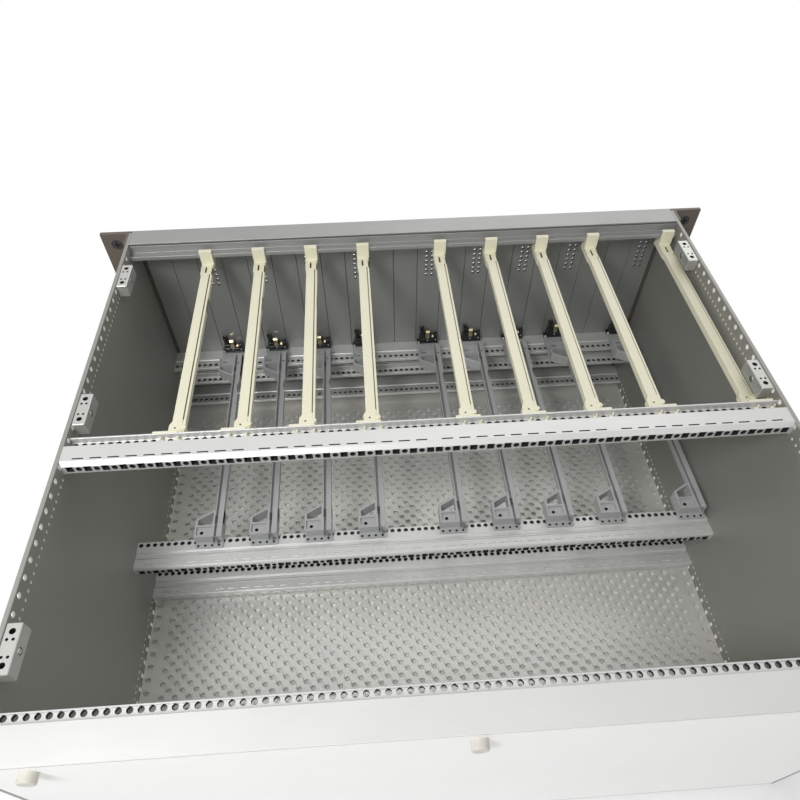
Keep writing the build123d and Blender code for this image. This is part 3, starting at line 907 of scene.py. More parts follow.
@dataclass
class RailScrews:
    """Countersunk screws that hold the rails, the ears and the cover blocks, with cross recesses."""

    radius: float = 1.9
    head: float = 3.8
    length: float = 12.0
    ear_wall: float = 2.0
    recess: float = 2.1
    recess_width: float = 0.8
    recess_depth: float = 1.3
    tip: float = 0.5
    block_reach: float = 10.1
    edge_depth: float = 8.8
    middle_depth: float = 10.2
    room: float = 0.6

    def bore(self, node: str, depth: float) -> tuple[float, float]:
        """Y and Z of the bore in a rail's end, which is also where its screw goes in."""
        span = Span.of(node)
        inwards = 1 if node.startswith("front") else -1
        lipped = node.endswith(("rail_top", "rail_base")) and not node.startswith("mid")
        lip = EdgeRail.wall if lipped else 0.0
        seat = span.low[1] + lip if inwards > 0 else span.high[1] - lip
        up = node in ("front_rail_top", "front_rail_divider", "rear_rail_top", "mid_rail_top")
        level = span.low[2] + Rail.half if up else span.high[2] - Rail.half
        return seat + inwards * depth, level

    @property
    def ear_places(self) -> list[tuple[float, float]]:
        """Y and Z of the screws through the ears' legs."""
        names = ("top", "cage", "divider", "base")
        return [self.bore(f"front_rail_{name}", self.edge_depth) for name in names]

    @property
    def wall_places(self) -> list[tuple[float, float]]:
        """Y and Z of the screws through the bare side panels."""
        rear = [self.bore(f"rear_rail_{name}", self.edge_depth) for name in ("top", "base")]
        middle = [self.bore(f"mid_rail_{name}", self.middle_depth) for name in ("top", "cage", "base")]
        return rear + middle

    @property
    def block_places(self) -> list[tuple[float, float]]:
        """Y and Z of the screws of the cover blocks."""
        return [(y, CoverBlocks().level) for y in CoverBlocks().middles]

    def near(self, y: float, z: float, radius: float) -> bool:
        """Whether a small hole would run into a screw's head."""
        places = self.wall_places + self.block_places
        return any(math.hypot(y - a, z - b) < radius + self.head + self.room for a, b in places)

    def sinks(self, side: int, outer: float, hole: float, sink: float) -> Surface:
        """Countersinks through a side panel, as turned tools that widen to its outer face.

        Args:
            side: 1 on the +X side, -1 on the other.
            outer: X of the panel's outer face.
            hole: Radius of the hole.
            sink: Radius of the countersink at the face.

        Returns:
            The tools.
        """
        profile = np.array([(hole, -6.0), (hole, hole - sink), (sink, 0.0), (sink, 1.0)]) * (1, side)
        centres = [(outer, y, z) for y, z in self.wall_places + self.block_places]
        return Surface().turned(profile, Axis.X, centres, 20)

    def build(self) -> None:
        """Turns the screws on both sides and mills their recesses."""
        span = Span.of("rail_screws")
        surface, tool = Surface(), Surface()
        for side, ear_face in ((1, span.high[0]), (-1, span.low[0])):
            wall_face = ear_face - side * self.ear_wall
            for places, face, length in (
                (self.ear_places, ear_face, self.length),
                (self.wall_places, wall_face, self.length),
                (self.block_places, wall_face, self.block_reach),
            ):
                centres = [(face, y, z) for y, z in places]
                surface.merge(self.form(side, length), centres)
                tool.merge(self.cross(Axis.X), centres)
        piece = place(surface, "rail_screws_turned", STEEL, "rail_screws")
        cut(piece, tool)

    def form(self, side: int, length: float) -> Surface:
        """One screw along X, from its tip to its head, with radius falling from head to shank."""
        profile = [(self.radius - self.tip, -length), (self.radius, self.tip - length)]
        profile += [(self.radius, self.radius - self.head), (self.head - 0.1, -0.1), (self.head - 0.25, 0.0)]
        return Surface().turned(np.array(profile) * (1, side), Axis.X, [(0, 0, 0)], 20)

    def cross(self, axis: Axis) -> Surface:
        """A cross recess about a point on the head's face: one arm's three corners, turned four times."""
        half = self.recess_width / 2
        arm = np.array([(half, half), (self.recess, half), (self.recess, -half)])
        outline = []
        for angle in np.arange(4) * -math.pi / 2:
            sine, cosine = math.sin(angle), math.cos(angle)
            outline.append(arm @ np.array([(cosine, -sine), (sine, cosine)]).T)
        outline = np.vstack(outline)
        return Surface().prism(outline[::-1], axis, -self.recess_depth, self.recess_depth)


@dataclass
class EarScrews(RailScrews):
    """The blackened countersunk screws near the ears' corners."""

    radius: float = 3.0
    head: float = 4.3
    length: float = 3.0
    recess: float = 2.4
    recess_width: float = 1.0

    def build(self) -> None:
        """Turns the four screws, heads to the rear, and mills their recesses."""
        span = Span.of("ear_screws")
        profile = [(self.radius, span.low[1] - span.high[1] + 0.1), (self.radius, self.radius - self.head)]
        profile += [(self.head - 0.1, -0.1), (self.head - 0.3, 0.0)]
        surface, tool = Surface(), Surface()
        for x in (span.low[0] + self.head, span.high[0] - self.head):
            for z in (span.low[2] + self.head, span.high[2] - self.head):
                surface.turned(np.array(profile), Axis.Y, [(x, span.high[1], z)], 28)
                tool.merge(self.cross(Axis.Y), [(x, span.high[1], z)])
        piece = place(surface, "ear_screws_turned", BLACKENED, "ear_screws")
        cut(piece, tool)


@dataclass
class CoverBlocks:
    """Six blocks along the top of the side panels, drilled for a cover's screws."""

    ease: float = 0.4
    hole: float = 1.65
    inset: float = 4.5
    deep: float = 30.0
    small: float = 0.8
    small_inset: float = 8.6
    small_apart: float = 1.5
    screw: float = 2.0
    length: float = 26.0
    width: float = 7.6
    front_gap: float = 18.4
    mid_gap: float = 8.0
    rear_gap: float = 15.3

    @property
    def middles(self) -> list[float]:
        """Y of the blocks' middles, counted from the ends of the rails' flanges."""
        half = self.length / 2
        return [
            Span.of("front_rail_top").high[1] + self.front_gap + half,
            Span.of("mid_rail_top").low[1] - self.mid_gap - half,
            Span.of("rear_rail_top").low[1] - self.rear_gap - half,
        ]

    @property
    def level(self) -> float:
        """Height of the blocks' middles."""
        return Span.of("cover_blocks").middle[2]

    def build(self) -> None:
        """Makes the blocks and drills them."""
        span = Span.of("cover_blocks")
        surface, tool = Surface(), Surface()
        for x0, x1 in ((span.low[0], span.low[0] + self.width), (span.high[0] - self.width, span.high[0])):
            x = (x0 + x1) / 2
            for y in self.middles:
                low, high = y - self.length / 2, y + self.length / 2
                surface.block((x0, low, span.low[2]), (x1, high, span.high[2]), self.ease)
                centres = [(x, end, span.middle[2]) for end in (low + self.inset, high - self.inset)]
                tool.rods(centres, self.hole, Axis.Z, self.deep, 16)
                for end in (low + self.small_inset, high - self.small_inset):
                    pair = [(x + side * self.small_apart, end, span.high[2]) for side in (-1, 1)]
                    tool.rods(pair, self.small, Axis.Z, 2.5, 10)
                tool.rods([(x, y, self.level)], self.screw, Axis.X, self.width, 16)
        piece = place(surface, "cover_blocks_drilled", BLOCK, "cover_blocks")
        # The holes' walls get painted shade.
        cut(piece, tool, HOLE_PAINTED_SHADE)


@dataclass
class BottomPlate:
    """The bottom sheet: plain near the front rail, and then staggered round holes.

    Columns stand half a pitch apart, and every other one starts half a pitch later. One more
    column, with a start of its own, lies near each side.
    """

    pitch: float = 10.0
    radius: float = 2.0
    sides: int = 12
    columns: int = 81
    rows: int = 33
    start: float = -157.2
    edge_column: float = 211.1
    edge_start: float = -151.0
    edge_rows: int = 32

    def build(self) -> None:
        """Tiles the sheet with one hole to a tile, and closes it with plain patches and edges."""
        span = Span.of("bottom_plate")
        low, high = span.low, span.high
        surface = Surface()
        half = self.pitch / 4
        xs = (np.arange(self.columns) - (self.columns - 1) / 2) * self.pitch / 2
        later = np.arange(self.columns) % 2 * self.pitch / 2
        self.tiles(surface, span, xs, self.start + later, self.rows)
        sides = np.array([-1, 1]) * self.edge_column
        self.tiles(surface, span, sides, np.full(2, self.edge_start), self.edge_rows)
        main = self.breaks(span, self.start, self.rows + 0.5)
        edge = self.breaks(span, self.edge_start, self.edge_rows)
        plain = np.array([low[1], high[1]])
        for x, shift in zip(xs, later):
            near = self.start + shift - self.pitch / 2
            far = near + self.pitch * self.rows
            before = main[main <= near + 1e-6]
            after = main[main >= far - 1e-6]
            self.patch(surface, span, (x - half, before), (x + half, before))
            self.patch(surface, span, (x - half, after), (x + half, after))
        for side in (-1, 1):
            x = side * self.edge_column
            for part in (edge[:2], edge[-2:]):
                self.patch(surface, span, (x - half, part), (x + half, part))
            inner = side * (xs[-1] + half), main
            between = x - side * half, edge
            beyond = x + side * half, edge
            outer = (high[0] if side > 0 else low[0]), plain
            for a, b in ((inner, between), (beyond, outer)):
                self.patch(surface, span, *((a, b) if side > 0 else (b, a)))
        across = np.concatenate([xs - half, [xs[-1] + half, low[0], high[0]]])
        edges = [side * (self.edge_column + e) for e in (-half, half) for side in (-1, 1)]
        across = np.unique(np.concatenate([across, edges]))
        ring = np.vstack([
            np.stack([across, np.full(len(across), low[1])], axis=1),
            np.stack([across[::-1], np.full(len(across), high[1])], axis=1),
        ])
        surface.loft(np.stack([lift(ring, Axis.Z, low[2]), lift(ring, Axis.Z, high[2])]), closed_ends=False)
        piece = place(surface, "bottom_plate_perforated", PLATE, "bottom_plate")
        # The walls of the holes and the sheet's edges get a painted highlight.
        edge_wall_finish(piece, Axis.Z, PLATE_PAINTED_HIGHLIGHT)

    def breaks(self, span: Span, start: float, rows: float) -> Flat:
        """Y of every point down the side of a column, from the sheet's front edge to its rear edge."""
        steps = np.arange(int(2 * rows) + 1) * self.pitch / 2
        return np.concatenate([[span.low[1]], start - self.pitch / 2 + steps, [span.high[1]]])

    def patch(
        self, surface: Surface, span: Span, left: tuple[float, Flat], right: tuple[float, Flat]
    ) -> None:
        """Adds a plain stretch of sheet between two columns of points, on both faces.

        Args:
            surface: The sheet.
            span: Its box.
            left: X and the Y values of the points on its -X side.
            right: The same on its +X side.
        """
        (x0, ys0), (x1, ys1) = left, right
        outline = np.vstack([
            np.stack([np.full(len(ys1), x1), ys1], axis=1),
            np.stack([np.full(len(ys0), x0), ys0[::-1]], axis=1),
        ])
        for z in (span.low[2], span.high[2]):
            surface.add(lift(outline, Axis.Z, z), np.arange(len(outline))[None])

    def tiles(self, surface: Surface, span: Span, xs: Flat, starts: Flat, rows: int) -> None:
        """Adds the columns of tiles: every tile is the same points, moved to its hole's centre."""
        plan_x = np.repeat(xs, rows)
        plan_y = np.repeat(starts, rows) + np.tile(np.arange(rows), len(xs)) * self.pitch
        points, groups = self.tile(span.low[2], span.high[2])
        count = len(plan_x)
        moved = points[None] + np.stack([plan_x, plan_y, np.zeros(count)], axis=1)[:, None]
        step = (np.arange(count) * len(points))[:, None, None]
        surface.add(moved, *[(group[None] + step).reshape(-1, group.shape[1]) for group in groups])

    def tile(self, low: float, high: float) -> tuple[Points, list[np.ndarray]]:
        """One tile about its hole: a fan of triangles between the hole's ring and the tile's rim.

        Args:
            low: Height of the sheet's underside.
            high: Height of its top.

        Returns:
            The tile's points, and its triangles and walls.
        """
        half_x, half_y = self.pitch / 4, self.pitch / 2
        round_square = [(1, 0), (1, 1), (0, 1), (-1, 1), (-1, 0), (-1, -1), (0, -1), (1, -1)]
        rim = np.array(round_square) * (half_x, half_y)
        angle = np.arange(self.sides) * 2 * math.pi / self.sides
        ring = self.radius * np.stack([np.cos(angle), np.sin(angle)], axis=1)
        edge = np.arctan2(rim[:, 1] / half_y * half_x, rim[:, 0]) % (2 * math.pi)
        order = np.argsort(np.concatenate([angle, edge - 1e-6 + (edge < 1e-6) * 2e-6]), kind="stable")
        triangles = []
        ring_at, rim_at = 0, 0
        total = self.sides
        for index in order[1:].tolist() + [order[0]]:
            triangles.append((ring_at, total + rim_at, index))
            if index < self.sides:
                ring_at = index
            else:
                rim_at = index - self.sides
        top = np.array(triangles)
        flat = np.vstack([ring, rim])
        points = np.vstack([lift(flat, Axis.Z, high), lift(flat, Axis.Z, low)])
        under = top[:, ::-1] + len(flat)
        index = np.arange(self.sides)
        ahead = np.roll(index, -1)
        walls = np.stack([index, ahead, ahead + len(flat), index + len(flat)], axis=1)
        return points, [top, under, walls]


@dataclass
class FrontPanels:
    """The front panels with round vents, the blank panel below, and dark strips of painted shade in their
    seams.
    """

    ease: float = 0.25
    vent: float = 1.25
    vent_x: float = 4.9
    vent_z: float = 4.3
    vent_drop: float = 26.3
    vent_rows: int = 6
    screw_inset: float = 7.3
    hole: float = 1.4
    shade_strip: float = 0.13
    shade_strip_back: float = 0.35
    panels: int = 21
    head: float = 2.5

    def build(self, nodes: Sequence[str]) -> None:
        """Makes each panel and cuts its holes, and lays dark strips of painted shade in the seams.

        Args:
            nodes: Names of the frame's nodes.
        """
        names = sorted(name for name in nodes if name.startswith(("vented_panel", "plain_panel")))
        top = self.level("front_rail_top")
        cage = self.level("front_rail_cage")
        seams = Surface()
        for name in names:
            span = Span.of(name)
            surface = Surface().prism(self.face(span), Axis.Y, span.low[1], span.high[1], self.ease)
            piece = place(surface, f"{name}_pressed", FRONT, name)
            x, y = span.low[0] + self.screw_inset, span.middle[1]
            tool = Surface().rods([(x, y, top), (x, y, cage)], self.hole, Axis.Y, 4.0, 14)
            if name.startswith("vented"):
                rows = span.high[2] - self.vent_drop - np.arange(self.vent_rows) * self.vent_z
                centres = [(span.middle[0] + side * self.vent_x / 2, y, z) for side in (-1, 1) for z in rows]
                tool.rods(centres, self.vent, Axis.Y, 4.0, 14)
            # The walls of the vents and screw holes get painted shade.
            cut(piece, tool, HOLE_PAINTED_SHADE)
            # Dark strips in the gaps beside each panel, painted shade of the seams.
            for edge in (span.low[0], span.high[0]):
                outwards = -0.15 if edge == span.low[0] else 0.15
                x = edge + outwards
                seams.block(
                    (x - self.shade_strip, span.low[1] + 0.5, span.low[2] + 0.6),
                    (x + self.shade_strip, span.high[1] - self.shade_strip_back, span.high[2] - 0.6),
                    0.03,
                )
        place(seams, "seam_shade_strips", SEAM_PAINTED_SHADE)
        span = Span.of("base_panel")
        surface = Surface().prism(self.face(span), Axis.Y, span.low[1], span.high[1], self.ease)
        piece = place(surface, "base_panel_pressed", FRONT, "base_panel")
        width = (span.high[0] - span.low[0]) / 4
        centres = [
            (span.low[0] + (column + 0.5) * width, span.middle[1], z)
            for column in range(4) for z in (self.level("front_rail_base"), self.level("front_rail_divider"))
        ]
        cut(piece, Surface().rods(centres, self.hole, Axis.Y, 4.0, 14))

    def face(self, span: Span) -> Flat:
        """Outline of a panel's face as (X, Z) pairs, with eased corners."""
        outline = rectangle((span.low[0], span.low[2]), (span.high[0], span.high[2]))
        return corner_curves(outline, 0.4, 2)

    def level(self, node: str) -> float:
        """Height of a front rail's middle line."""
        return RailScrews().bore(node, 0.0)[1]


@dataclass
class PanelScrews(RailScrews):
    """The panel screws: low round heads with a cross recess, and shanks in the rails' channel."""

    radius: float = 1.25
    head: float = 2.5
    height: float = 2.0
    length: float = 5.5
    recess: float = 1.3
    recess_width: float = 0.55
    recess_depth: float = 0.8
    dome: float = 0.45

    def build(self) -> None:
        """Turns the screws at every panel and mills their recesses."""
        span = Span.of("panel_screws")
        face = span.low[1] + self.height
        panels = FrontPanels()
        xs = [Span.of(f"{kind}").low[0] + panels.screw_inset for kind in self.panel_names()]
        levels = [panels.level(f"front_rail_{name}") for name in ("top", "cage", "base", "divider")]
        places = [(x, z) for x in xs for z in levels[:2]]
        base = Span.of("base_panel")
        width = (base.high[0] - base.low[0]) / 4
        places += [
            (base.low[0] + (column + 0.5) * width, z)
            for column in range(4) for z in levels[2:]
        ]
        profile = [(self.head - 0.9, -self.height), (self.head - self.dome, 0.25 - self.height)]
        profile += [(self.head, self.dome + 0.2 - self.height), (self.head, -0.02)]
        profile += [(self.radius, -0.01), (self.radius, self.length)]
        centres = [(x, face, z) for x, z in places]
        surface = Surface().turned(profile, Axis.Y, centres, 20)
        piece = place(surface, "panel_screws_turned", STEEL, "panel_screws")
        cut(piece, Surface().merge(self.cross(Axis.Y), [(x, span.low[1], z) for x, _, z in centres]))

    def panel_names(self) -> list[str]:
        """Names of the panels, from the -X end."""
        vented = {1, 4, 6, 8, 10, 13, 15, 17, 19}
        return [f"{'vented' if number in vented else 'plain'}_panel_{number:02d}" for number in range(1, 22)]


@dataclass
class Ears:
    """The rack ears: an angle with a rounded bend, slots, and a strip beside the panels."""

    wall: float = 3.0
    leg_wall: float = 2.0
    bend: float = 2.5
    ease: float = 0.3
    corner: float = 1.0
    slot_inset: float = 8.75
    slot_rise: float = 101.6
    slot_height: float = 6.8
    slot_length: float = 10.3
    screw_inset: float = 10.6
    screw: float = 3.1
    sink: float = 4.4
    rail_screw: float = 2.0
    rail_sink: float = 3.9
    strip_wall: float = 2.5
    strip_drop: float = 2.0

    def build(self, screws: RailScrews) -> None:
        """Bends each angle, then cuts its slots and sinks its screws.

        Args:
            screws: The screws through the legs.
        """
        for hand, side in (("right", 1), ("left", -1)):
            name = f"rack_ear_{hand}"
            span, wall = Span.of(name), Span.of(f"side_panel_{hand}")
            tip = span.high[0] if side > 0 else span.low[0]
            inner = wall.low[0] if side > 0 else wall.high[0]
            outer = wall.high[0] if side > 0 else wall.low[0]
            far = outer + side * self.leg_wall
            front, back = span.low[1], span.low[1] + self.wall
            t = np.linspace(0, math.pi / 2, 6)
            arc = np.stack([
                far + side * self.bend * (1 - np.cos(t)),
                back + self.bend * (1 - np.sin(t)),
            ], axis=1)
            outline = np.vstack([
                [(inner, front), (tip, front), (tip, back)], arc[::-1],
                [(far, span.high[1]), (outer, span.high[1]), (outer, back), (inner, back)],
            ])
            surface = Surface().prism(outline, Axis.Z, span.low[2], span.high[2], self.ease)
            strip = span.low[0] if side > 0 else span.high[0]
            xs = sorted((strip, inner + side * 0.5))
            low, high = span.low[2] + self.strip_drop, span.high[2] - self.strip_drop
            surface.block((xs[0], front, low), (xs[1], front + self.strip_wall, high), 0.2)
            piece = place(surface, f"{name}_bent", EAR, name)
            cut(piece, self.tools(side, tip, far, span, screws), joined=True)

    def tools(self, side: int, tip: float, far: float, span: Span, screws: RailScrews) -> Surface:
        """The rack slots, and the countersinks from the rear and from the side."""
        tool = Surface()
        half = (self.slot_length - self.slot_height) / 2
        middle = (span.low[2] + span.high[2]) / 2
        t = np.linspace(-math.pi / 2, math.pi / 2, 9)
        end = self.slot_height / 2 * np.stack([np.cos(t), np.sin(t)], axis=1)
        slot = np.vstack([end + (half, 0), -end - (half, 0)])
        for z in (middle - self.slot_rise / 2, middle + self.slot_rise / 2):
            outline = slot + (tip - side * self.slot_inset, z)
            tool.prism(outline, Axis.Y, span.low[1] - 1, span.low[1] + self.wall + 1)
        back = span.low[1] + self.wall
        corner = self.countersink(self.screw, self.sink, 5.0)
        screw_span = Span.of("ear_screws")
        for z in (screw_span.low[2] + EarScrews.head, screw_span.high[2] - EarScrews.head):
            tool.turned(corner, Axis.Y, [(tip - side * self.screw_inset, back, z)], 28)
        leg = self.countersink(self.rail_screw, self.rail_sink, 6.0)
        tool.turned(leg * (1, side), Axis.X, [(far, y, z) for y, z in screws.ear_places], 20)
        return tool

    @staticmethod
    def countersink(hole: float, sink: float, reach: float) -> Flat:
        """Profile of a hole that widens at 45 degrees to its sink at the face."""
        return np.array([(hole, -reach), (hole, hole - sink), (sink, 0.0), (sink, 1.0)])


@dataclass
class Bumpers:
    """The round bumpers on the rear panel, with a soft rim."""

    radius: float = 4.15
    rim: float = 1.0
    count: int = 3

    def build(self) -> None:
        """Turns each bumper: radius falls over the rim on a quarter circle."""
        span = Span.of("rear_bumpers")
        reach = span.high[1] - span.low[1]
        t = np.linspace(0, math.pi / 2, 6)
        rim = np.stack([self.radius - self.rim * (1 - np.cos(t)), reach - self.rim * (1 - np.sin(t))], axis=1)
        dish = [(self.radius - self.rim - 1.2, reach - 0.25), (0.3, reach - 0.3)]
        profile = np.vstack([[(self.radius, 0.0)], rim, dish])
        xs = np.linspace(span.low[0] + self.radius, span.high[0] - self.radius, self.count)
        centres = row(xs, span.low[1], span.middle[2])
        place(Surface().turned(profile, Axis.Y, centres, 32), "rear_bumpers_moulded", BUMPER, "rear_bumpers")


@dataclass
class UpperGuides:
    """The cream guides that hang from the top rails.

    Sides are counted from the card slot's middle, lengths from the guide's front end.
    """

    near: float = -4.3
    far: float = 4.1
    groove: float = -0.8
    groove_width: float = 1.8
    groove_depth: float = 3.0
    back_wall: float = 1.6
    line: float = -2.5
    line_width: float = 0.7
    line_depth: float = 1.1
    ridge_drop: float = 0.5
    head_side: float = 0.8
    head_length: float = 20.0
    head_slant: float = 4.0
    slot_shift: float = 0.8
    slot_width: float = 1.3
    slot_from: float = 12.3
    slot_to: float = 19.5
    notch_from: float = 13.3
    notch_to: float = 21.5
    notch_side: float = 0.8
    tab_width: float = 9.6
    tab_wall: float = 1.6
    hook_reach: float = 1.8
    hook_wall: float = 1.1
    pad_side: float = 1.6
    pad_length: float = 14.7
    pad_slant: float = 3.0
    tab_near: float = -5.0
    tab_far: float = 10.2
    boss: float = 2.0
    boss_height: float = 0.8
    boss_shift: float = -3.4
    hole_shift: float = 1.7
    hole: float = 0.7
    boss_inset: float = 13.7
    peg: float = 1.5
    peg_rise: float = 1.1
    peg_tip: float = 0.65
    step_from: float = 50.0
    step_to: float = 64.0
    step_side: float = 0.7

    def build(self, slots: Flat, grid: Grid) -> None:
        """Makes each guide and cuts its slot, notch, groove and hole.

        Args:
            slots: X of the card slots.
            grid: The card grid.
        """
        for number, x in enumerate(slots, start=1):
            name = f"upper_guide_{number}"
            span = Span.of(name)
            piece = place(self.shape(span, x, grid), f"{name}_moulded", CREAM, name)
            # The cut walls get painted shade.
            cut(piece, self.tools(span, x), CREAM_PAINTED_SHADE, joined=True)

    def levels(self, span: Span) -> tuple[float, float, float, float, float]:
        """Heights of the legs' ends, the back, the front flange's underside, its rim and its hook."""
        rail, middle = Span.of("front_rail_top"), Span.of("mid_rail_top")
        legs = span.low[2]
        back = legs + self.groove_depth + self.back_wall
        return legs, back, rail.low[2], span.high[2] - self.hook_wall, middle.low[2]

    def shape(self, span: Span, x: float, grid: Grid) -> Surface:
        """Bar, head, tab with its hook, rear pad, boss, plate and pegs, as eased prisms and blocks."""
        rail, rear = Span.of("front_rail_top"), span.high[1]
        legs, back, seat, hook, rear_seat = self.levels(span)
        front = rail.high[1] - EdgeRail.flange + CLEARANCE
        near, far = x + self.near, x + self.far
        line = x + self.line
        low, high = x + self.groove - self.groove_width / 2, x + self.groove + self.groove_width / 2
        section = np.array([
            (near, legs), (low, legs), (low, back - self.back_wall),
            (high, back - self.back_wall), (high, legs), (far, legs), (far, back),
            (line, back), (line, back - self.ridge_drop), (near, back - self.ridge_drop),
        ])
        surface = Surface().prism(corner_curves(section, 0.3, 2), Axis.Y, front, rear, 0.2)
        side, head_end = far + self.head_side, front + self.head_length
        head = np.array([
            (far - 1.0, front), (side, front), (side, head_end),
            (far, head_end + self.head_slant), (far - 1.0, head_end + self.head_slant),
        ])
        surface.prism(corner_curves(head, 0.25), Axis.Z, legs, back + 0.02, 0.15)
        fill_end = front + self.notch_to + 1.0
        surface.block((near + 0.4, front + 0.3, back - 1.0), (far, fill_end, back + 0.01), 0.15)
        tab_near = rail.high[1] + 0.1
        tab_far = tab_near + self.tab_wall
        half = self.tab_width / 2
        surface.block((x - half, front, back - 0.6), (x + half, tab_near + 0.3, seat - 0.02), 0.2)
        hook_top, hook_tip = hook + self.hook_wall, tab_near - self.hook_reach
        surface.block((x - half, tab_near, back - 0.6), (x + half, tab_far, hook_top - 0.02), 0.25)
        surface.block((x - half, hook_tip, hook + 0.02), (x + half, tab_far - 0.02, hook_top), 0.25)
        return self.rear_end(surface, x, far, legs, back, rear, rear_seat, grid)

    def rear_end(
        self, surface: Surface, x: float, far: float, legs: float, back: float, rear: float, seat: float,
        grid: Grid,
    ) -> Surface:
        """Adds the rear pad with its slant, the boss, the block under the flange, the plate and the pegs."""
        middle = Span.of("mid_rail_top")
        pad_near = middle.low[1] - 0.1
        pad_front = pad_near - self.tab_wall - self.pad_length
        pad = np.array([
            (far - 1.0, pad_near), (far + self.pad_side, pad_near), (far + self.pad_side, pad_front),
            (far, pad_front - self.pad_slant), (far - 1.0, pad_front - self.pad_slant),
        ])
        surface.prism(corner_curves(pad, 0.25), Axis.Z, legs, back + 0.02, 0.15)
        surface.turned(
            [
                (self.boss, legs), (self.boss, back + self.boss_height - 0.25),
                (self.boss - 0.3, back + self.boss_height),
            ],
            Axis.Z, [(x + self.boss_shift, pad_near - self.boss_inset, 0)], 20,
        )
        reach = grid.pitch + self.peg + 0.1
        surface.block((x - reach, pad_near - 0.3, back - 1.4), (x + reach, rear, seat - 0.02), 0.2)
        top = middle.low[2] + MiddleRail.flange_wall + MiddleRail.rim_height
        surface.block(
            (x + self.tab_near, pad_near - self.tab_wall, back - 1.6), (x + self.tab_far, pad_near, top), 0.3
        )
        peg_y = middle.low[1] + MiddleRail.flange - MiddleRail.root_row
        pegs = [(x + side * grid.pitch, peg_y, 0) for side in (-1, 1)]
        rise = middle.low[2] + MiddleRail.flange_wall + self.peg_rise
        profile = [(self.peg, back), (self.peg, seat + 2.4), (self.peg_tip, seat + 3.4), (self.peg_tip, rise)]
        surface.turned(profile, Axis.Z, pegs, 16)
        rail = Span.of("front_rail_top")
        front_peg = rail.high[1] - EdgeRail.flange + EdgeRail.hole_depth
        profile = [(self.peg, back), (self.peg, rail.low[2] + Rail.flange_wall)]
        surface.turned(profile, Axis.Z, [(x, front_peg, 0)], 16)
        return surface

    def tools(self, span: Span, x: float) -> Surface:
        """The head's slot, the -X side's notch and step, the line along the back, the pad's small hole."""
        front = Span.of("front_rail_top").high[1] - EdgeRail.flange + CLEARANCE
        legs, back = self.levels(span)[:2]
        tool = Surface()
        middle, half = x + self.slot_shift, self.slot_width / 2
        slot = rectangle((middle - half, front + self.slot_from), (middle + half, front + self.slot_to))
        tool.prism(slot, Axis.Z, legs - 1, back + 2.0)
        near = x + self.near
        notch_low = (near - 1, front + self.notch_from)
        notch = rectangle(notch_low, (near + self.notch_side, front + self.notch_to))
        tool.prism(notch, Axis.Z, legs - 1, back + 2.0)
        start, end = front + self.step_from, front + self.step_to
        side = near + self.step_side
        step = np.array([
            (near - 1, start), (near, start), (side, start + 3),
            (side, end), (near, end + 1.0), (near - 1, end + 1.0),
        ])
        tool.prism(step, Axis.Z, legs - 1, back - 0.6)
        pad_near = Span.of("mid_rail_top").low[1] - 0.1
        line = x + self.line
        mark_low = (line - self.line_width / 2, front + self.slot_to + 2.0)
        mark = rectangle(mark_low, (line + self.line_width / 2, pad_near - self.pad_length - 6.0))
        tool.prism(mark, Axis.Z, back - self.line_depth, back + 2.0)
        tool.rods([(x + self.hole_shift, pad_near - self.boss_inset, back)], self.hole, Axis.Z, 1.5, 12)
        return tool


